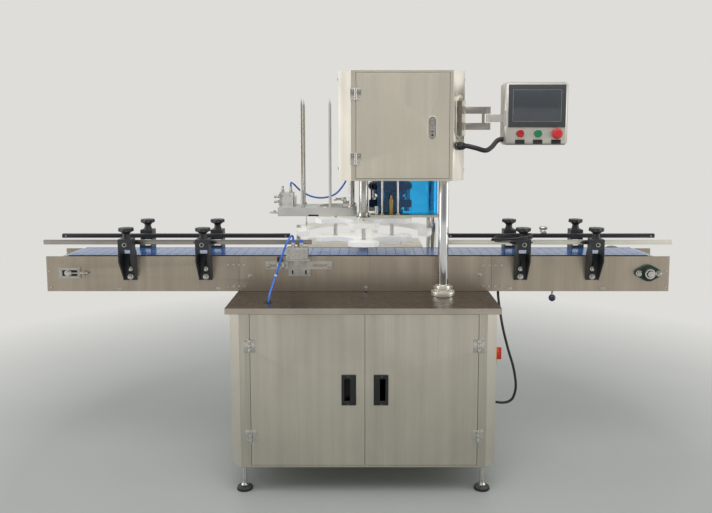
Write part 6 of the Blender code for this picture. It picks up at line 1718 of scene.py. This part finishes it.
@dataclass
class SeamingHead:
    """Seaming head below the box: dark discs, bolts, springs and two rollers."""

    def build(self) -> None:
        """Build the head's pieces."""
        SoftenedNode("seaming_head", Body.SEAMER, SEAMER_DARK, 0.0012).build()
        dress("seaming_roller_1", BRIGHT_STEEL)
        dress("seaming_roller_2", BRIGHT_STEEL)
        x, y = SEAMER_AXIS
        navy = Piece("seamer_rings", Body.SEAMER, "seaming_head")
        navy.lathe([(0.0924, 1.1135), (0.0924, 1.1200), (0.0850, 1.1228), (0.0700, 1.1250),
                    (0.0700, 1.1300)], (x, y, 0), Axis.UP, 64, 0.0010)
        navy.tube((x, y, 1.0900), Axis.UP, (0.0560, 0.0926), 0.0060, 64, 0.0010)
        navy.lathe([(0.0610, 1.0660), (0.0690, 1.0720), (0.0690, 1.0840), (0.0610, 1.0880)], (x, y, 0),
                   Axis.UP, 56, 0.0010)
        navy.tube((x, y, 1.0440), Axis.UP, (0.0550, 0.0660), 0.0120, 56, 0.0010)
        middle = Matrix.Translation((x, y, 0.0))
        for step in range(24):
            turn = Matrix.Rotation(math.tau * step / 24, 4, "Z")
            navy.brick((0.0050, 0.0060, 0.0170), middle @ turn @ Matrix.Translation((0.0935, 0, 1.1050)))
        navy.close(SEAMER_NAVY)
        bright = Piece("seamer_bolts", Body.SEAMER, "seaming_head")
        for place in ring(SEAMER_AXIS, 0.0790, 12, 1.1235, 0.5):
            bright.screw(place, Axis.UP, 0.0044)
        for place in ring(SEAMER_AXIS, 0.0800, 8, 0.0, 0.5):
            bright.lathe([(0.0042, 1.0460), (0.0042, 1.0900)], place, Axis.UP, 16, 0.0004)
            bright.lathe([(0.0078, 1.0560), (0.0078, 1.0640)], place, Axis.UP, 6, 0.0006)
            bright.lathe([(0.0070, 1.0720), (0.0070, 1.0800)], place, Axis.UP, 6, 0.0006)
        bright.close(BRIGHT_STEEL)
        arms = Piece("seamer_arm_covers", Body.SEAMER, "seaming_head")
        for quarter in range(4):
            turn = Matrix.Rotation(math.radians(90 * quarter), 4, "Z")
            place = middle @ turn @ Matrix.Translation((0.0720, 0, 1.0275))
            arms.brick((0.044, 0.0300, 0.0320), place, 0.004, 3)
        arms.close(SEAMER_NAVY)


@dataclass
class LidMagazine:
    """Lid magazine: plate, stack rods, hanging posts, cylinder and fittings."""

    axis_y: float = 0.216673
    plate_top: float = 1.016
    drop: Span = (-0.094673, 0.216673)
    stack_rods: tuple[Span, ...] = ((-0.245, 0.156673), (-0.245, 0.276673))
    rod_top: float = 1.483
    cylinder_x: Span = (-0.346, -0.286)

    def build(self) -> None:
        """Build the magazine's pieces."""
        SoftenedNode("lid_magazine", Body.FRAME, MAGAZINE_WHITE, 0.0014).build()
        SoftenedNode("lid_pusher", Body.PUSHER, BRIGHT_STEEL, 0.0010).build()
        self.rods()
        self.cylinder()
        self.small_parts()

    def rods(self) -> None:
        """Stack rods beside the plate's own one, and the posts that hang the magazine."""
        rods = Piece("stack_rods", Body.FRAME, "lid_magazine")
        for x, y in self.stack_rods:
            rods.lathe([(0.0115, self.plate_top - 0.001), (0.0115, 1.0270), (0.0064, 1.0285),
                        (0.0064, 1.4540), (0.0008, self.rod_top)], (x, y, 0), Axis.UP, 28)
        for side in (-0.075, 0.075):
            place = (-0.030, self.axis_y + side, 0.0)
            rods.lathe([(0.0180, self.plate_top - 0.001), (0.0180, 1.0240), (0.0115, 1.0255),
                        (0.0115, HEAD_FLOOR_Z - 0.0005)], place, Axis.UP, 32, 0.0006)
        rods.close(BRIGHT_STEEL)

    def cylinder(self) -> None:
        """Aluminium pusher cylinder with end caps, tie screws and fittings."""
        y = about(self.axis_y, 0.0303)
        z = (self.plate_top - 0.0005, 1.0764)
        x = self.cylinder_x
        body = Piece("pusher_cylinder_body", Body.FRAME, "lid_magazine")
        body.block((x[0] - 0.0003, x[0] + 0.0120), y, z, 0.0020)
        body.block((x[0] + 0.0125, x[1] - 0.0125), (y[0] + 0.0010, y[1] - 0.0010), (z[0], z[1] - 0.0008),
                   0.0020)
        body.close(ALUMINIUM)
        cap = Piece("pusher_cylinder_cap", Body.FRAME, "lid_magazine")
        middle_z = (z[0] + z[1]) / 2
        for across in (-0.0215, 0.0215):
            for up in (-0.0215, 0.0215):
                cap.screw((x[0] - 0.0003, self.axis_y + across, middle_z + up), Axis.LEFT, 0.0042)
        for screw_x in (x[0] + 0.012, x[1] - 0.014):
            for up in (0.018, -0.018):
                cap.screw((screw_x, y[0], middle_z + up), Axis.FRONT, 0.0030, ScrewHead.PAN)
        for up in (-0.010, 0.012):
            place = (x[0] - 0.0003, self.axis_y - 0.008, middle_z + up)
            cap.pin(place, Axis.LEFT, 0.0075, 0.0080, 6, 0.0008)
            cap.lathe([(0.0050, 0.008), (0.0050, 0.016), (0.0068, 0.017), (0.0068, 0.0250)], place,
                      Axis.LEFT, 24, 0.0005)
        for offset in (-0.018, 0.018):
            place = (sum(x) / 2 + offset, self.axis_y - 0.010, 1.0764)
            cap.pin(place, Axis.UP, 0.0080, 0.0100, 6, 0.0008)
            cap.lathe([(0.0052, 0.010), (0.0052, 0.020), (0.0060, 0.021), (0.0060, 0.0278)], place,
                      Axis.UP, 24, 0.0005)
        cap.close(BRIGHT_STEEL)

    def small_parts(self) -> None:
        """Lid pocket ring, wing screw, thin feeler rod and cushion block."""
        rim = Piece("magazine_ring", Body.FRAME, "lid_magazine")
        rim.tube((*self.drop, self.plate_top - 0.0004), Axis.UP, (0.0776, 0.0860), 0.0030, 72, 0.0008)
        rim.close(BRIGHT_STEEL)
        small = Piece("magazine_feeler", Body.FRAME, "lid_magazine")
        small.lathe([(0, 0.902), (0.0016, 0.903), (0.0016, 0.942), (0.0040, 0.944), (0.0040, 0.954),
                     (0.0016, 0.956), (0.0016, 0.981)], (-0.2240, 0.1320, 0), Axis.UP, 16)
        small.screw((-0.372, self.axis_y, 0.9890), Axis.UP, 0.0060, ScrewHead.HEX, True)
        small.pin((-0.075, 0.1500, 1.0520), Axis.RIGHT, 0.0080, 0.022, 6, 0.0008)
        small.lathe([(0.0052, 0), (0.0052, 0.020), (0.0075, 0.021), (0.0075, 0.032)],
                    (-0.075, 0.1500, 1.0520), Axis.LEFT, 24, 0.0006)
        small.block((-0.068, -0.030), (0.1400, 0.1600), (1.0150, 1.0440), 0.0020)
        small.pin((-0.058, 0.1500, 1.0430), Axis.UP, 0.0060, 0.0080, 16)
        small.close(BRIGHT_STEEL)
        # Painted shade: a thin black sheet in the magazine plate's notch.
        notch_shade = Piece("magazine_notch_painted_shade", Body.FRAME, "lid_magazine")
        notch_shade.block((-0.2160, -0.1720), (0.12835, 0.12905), (0.9798, 0.9870), 0.0002)
        notch_shade.close(JOINT_AND_SHADE_BLACK)


@dataclass
class Guard:
    """Blue guard sheet, its shelf, hangers and the probes that stand there."""

    hanger_x: Span = (0.100, 0.166)
    hanger_y: float = 0.075

    def build(self) -> None:
        """Build the guard's pieces."""
        SoftenedNode("guard_panel", Body.FRAME, GUARD_BLUE, 0.0006).build()
        SoftenedNode("guard_shelf", Body.FRAME, HEAD_STEEL, 0.0008).build()
        rods = Piece("guard_hangers", Body.FRAME, "guard_shelf")
        for x in self.hanger_x:
            rods.lathe([(0.0078, SHELF_TOP_Z), (0.0078, 0.9990), (0.0044, 1.0000), (0.0044, UNDER_HEAD_Z)],
                       (x, self.hanger_y, 0), Axis.UP, 24)
        rods.lathe([(0.0076, SHELF_TOP_Z), (0.0076, 1.0080), (0.0068, 1.0095), (0.0068, 1.0120),
                    (0.0076, 1.0135), (0.0076, 1.0290)], (0.076, self.hanger_y, 0), Axis.UP, 28)
        rods.close(BRIGHT_STEEL)
        probe = Piece("guard_probe", Body.FRAME, "guard_shelf")
        probe.lathe([(0.0076, SHELF_TOP_Z), (0.0076, 1.0580), (0.0045, 1.0610), (0.0040, 1.0755)],
                    (0.138, self.hanger_y, 0), Axis.UP, 28, 0.0004)
        for low in (1.0060, 1.0180, 1.0400):
            probe.lathe([(0.0098, low), (0.0098, low + 0.0055)], (0.138, self.hanger_y, 0), Axis.UP, 6,
                        0.0006)
        probe.close(BRASS)


@dataclass
class ControlStation:
    """Control box on its fork arm: screen, buttons, plates, arm plate and cable gland."""

    face_y: float = -0.266
    screen_x: Span = (0.556, 0.768)
    screen_z: Span = (1.357, 1.514)
    button_z: float = 1.334
    button_x: Point = (0.601, 0.667, 0.735)
    gland: Point = (0.3800, -0.2320, 1.288)

    def build(self) -> None:
        """Build the station's pieces."""
        SoftenedNode("control_box", Body.BOX, BOX_CREAM, 0.0020, 3, 50.0).build()
        SoftenedNode("control_arm", Body.ARM, RAIL_STEEL, 0.0008).build()
        self.screen()
        self.buttons()
        self.cable_gland()

    def screen(self) -> None:
        """Dark bezel, glass and the thin pale line round the display."""
        x, z, y = self.screen_x, self.screen_z, self.face_y
        bezel = Piece("screen_bezel", Body.BOX, "control_box")
        bezel.block((x[0] - 0.0003, x[1] + 0.0003), (y - 0.0033, y + 0.0010),
                    (z[0] - 0.0003, z[1] + 0.0003), 0.0016, 3)
        bezel.close(SCREEN_BEZEL)
        glass = Piece("screen_glass", Body.BOX, "control_box")
        glass.block((x[0] + 0.0175, x[1] - 0.0175), (y - 0.0036, y - 0.0020),
                    (z[0] + 0.0225, z[1] - 0.0225), 0.0003)
        glass.close(SCREEN_GLASS)
        line = Piece("screen_line", Body.BOX, "control_box")
        left, right, low, high = x[0] + 0.0165, x[1] - 0.0165, z[0] + 0.0215, z[1] - 0.0200
        wide = 0.0008
        sides = (((left, right), (low, low + wide)), ((left, right), (high, high + wide)),
                 ((left, left + wide), (low, high)), ((right - wide, right), (low, high + wide)))
        for side_x, side_z in sides:
            line.block(side_x, (y - 0.0039, y - 0.0030), side_z)
        line.close(SCREEN_LINE)

    def buttons(self) -> None:
        """Two flanged push buttons, the mushroom stop and bare plates under them."""
        rings = Piece("button_rings", Body.BOX, "control_box")
        plates = Piece("button_plates", Body.BOX, "control_box")
        for x in self.button_x:
            rings.tube((x, self.face_y + 0.0002, self.button_z), Axis.FRONT, (0.0118, 0.0158), 0.0036, 40,
                       0.0008)
            plates.block(about(x, 0.0175), (self.face_y - 0.0012, self.face_y + 0.0006), (1.2960, 1.3120),
                         0.0004)
        rings.close(BRIGHT_STEEL)
        plates.close(KNOB_BLACK)
        for name, body, x, finish in (("button_red", Body.BUTTON_RED, self.button_x[0], BUTTON_RED),
                                      ("button_green", Body.BUTTON_GREEN, self.button_x[1], BUTTON_GREEN)):
            cap = Piece(f"{name}_cap", body, name)
            cap.lathe([(0.0108, -0.010), (0.0108, 0.0077), (0.0142, 0.0080), (0.0142, 0.0097),
                       (0.0128, 0.0110)], (x, self.face_y, self.button_z), Axis.FRONT, 40, 0.0007)
            cap.close(finish, replaces=[name])
        stop = Piece("button_stop_cap", Body.BUTTON_STOP, "button_stop")
        stop.lathe([(0.0108, -0.010), (0.0108, 0.0110), (0.0185, 0.0122), (0.0200, 0.0150),
                    (0.0196, 0.0200), (0.0170, 0.0240), (0.0120, 0.0258), (0, 0.0260)],
                   (self.button_x[2], self.face_y, self.button_z), Axis.FRONT, 48, 0.0006)
        stop.close(STOP_RED, replaces=["button_stop"])

    def cable_gland(self) -> None:
        """Black gland where the control cable leaves the head box."""
        gland = Piece("control_cable_gland", Body.FRAME, "head_housing")
        gland.pin(self.gland, Axis.CORNER, 0.0162, 0.0090, 6, 0.0010)
        gland.lathe([(0.0148, 0.0085), (0.0148, 0.0170), (0.0118, 0.0262)], self.gland, Axis.CORNER, 32,
                    0.0010)
        gland.close(KNOB_BLACK)


def main() -> None:
    """Build the studio, the cords and every sub-assembly in order."""
    logging.basicConfig(level=logging.INFO, format="%(message)s")
    Studio().build()
    Cords().build()
    SensorCoil().build()
    Cabinet().build()
    Conveyor().build()
    GuideRails().build()
    CanStopper().build()
    StarStation().build()
    HeadBox().build()
    SeamingHead().build()
    LidMagazine().build()
    Guard().build()
    ControlStation().build()


if __name__ == "__main__":
    main()
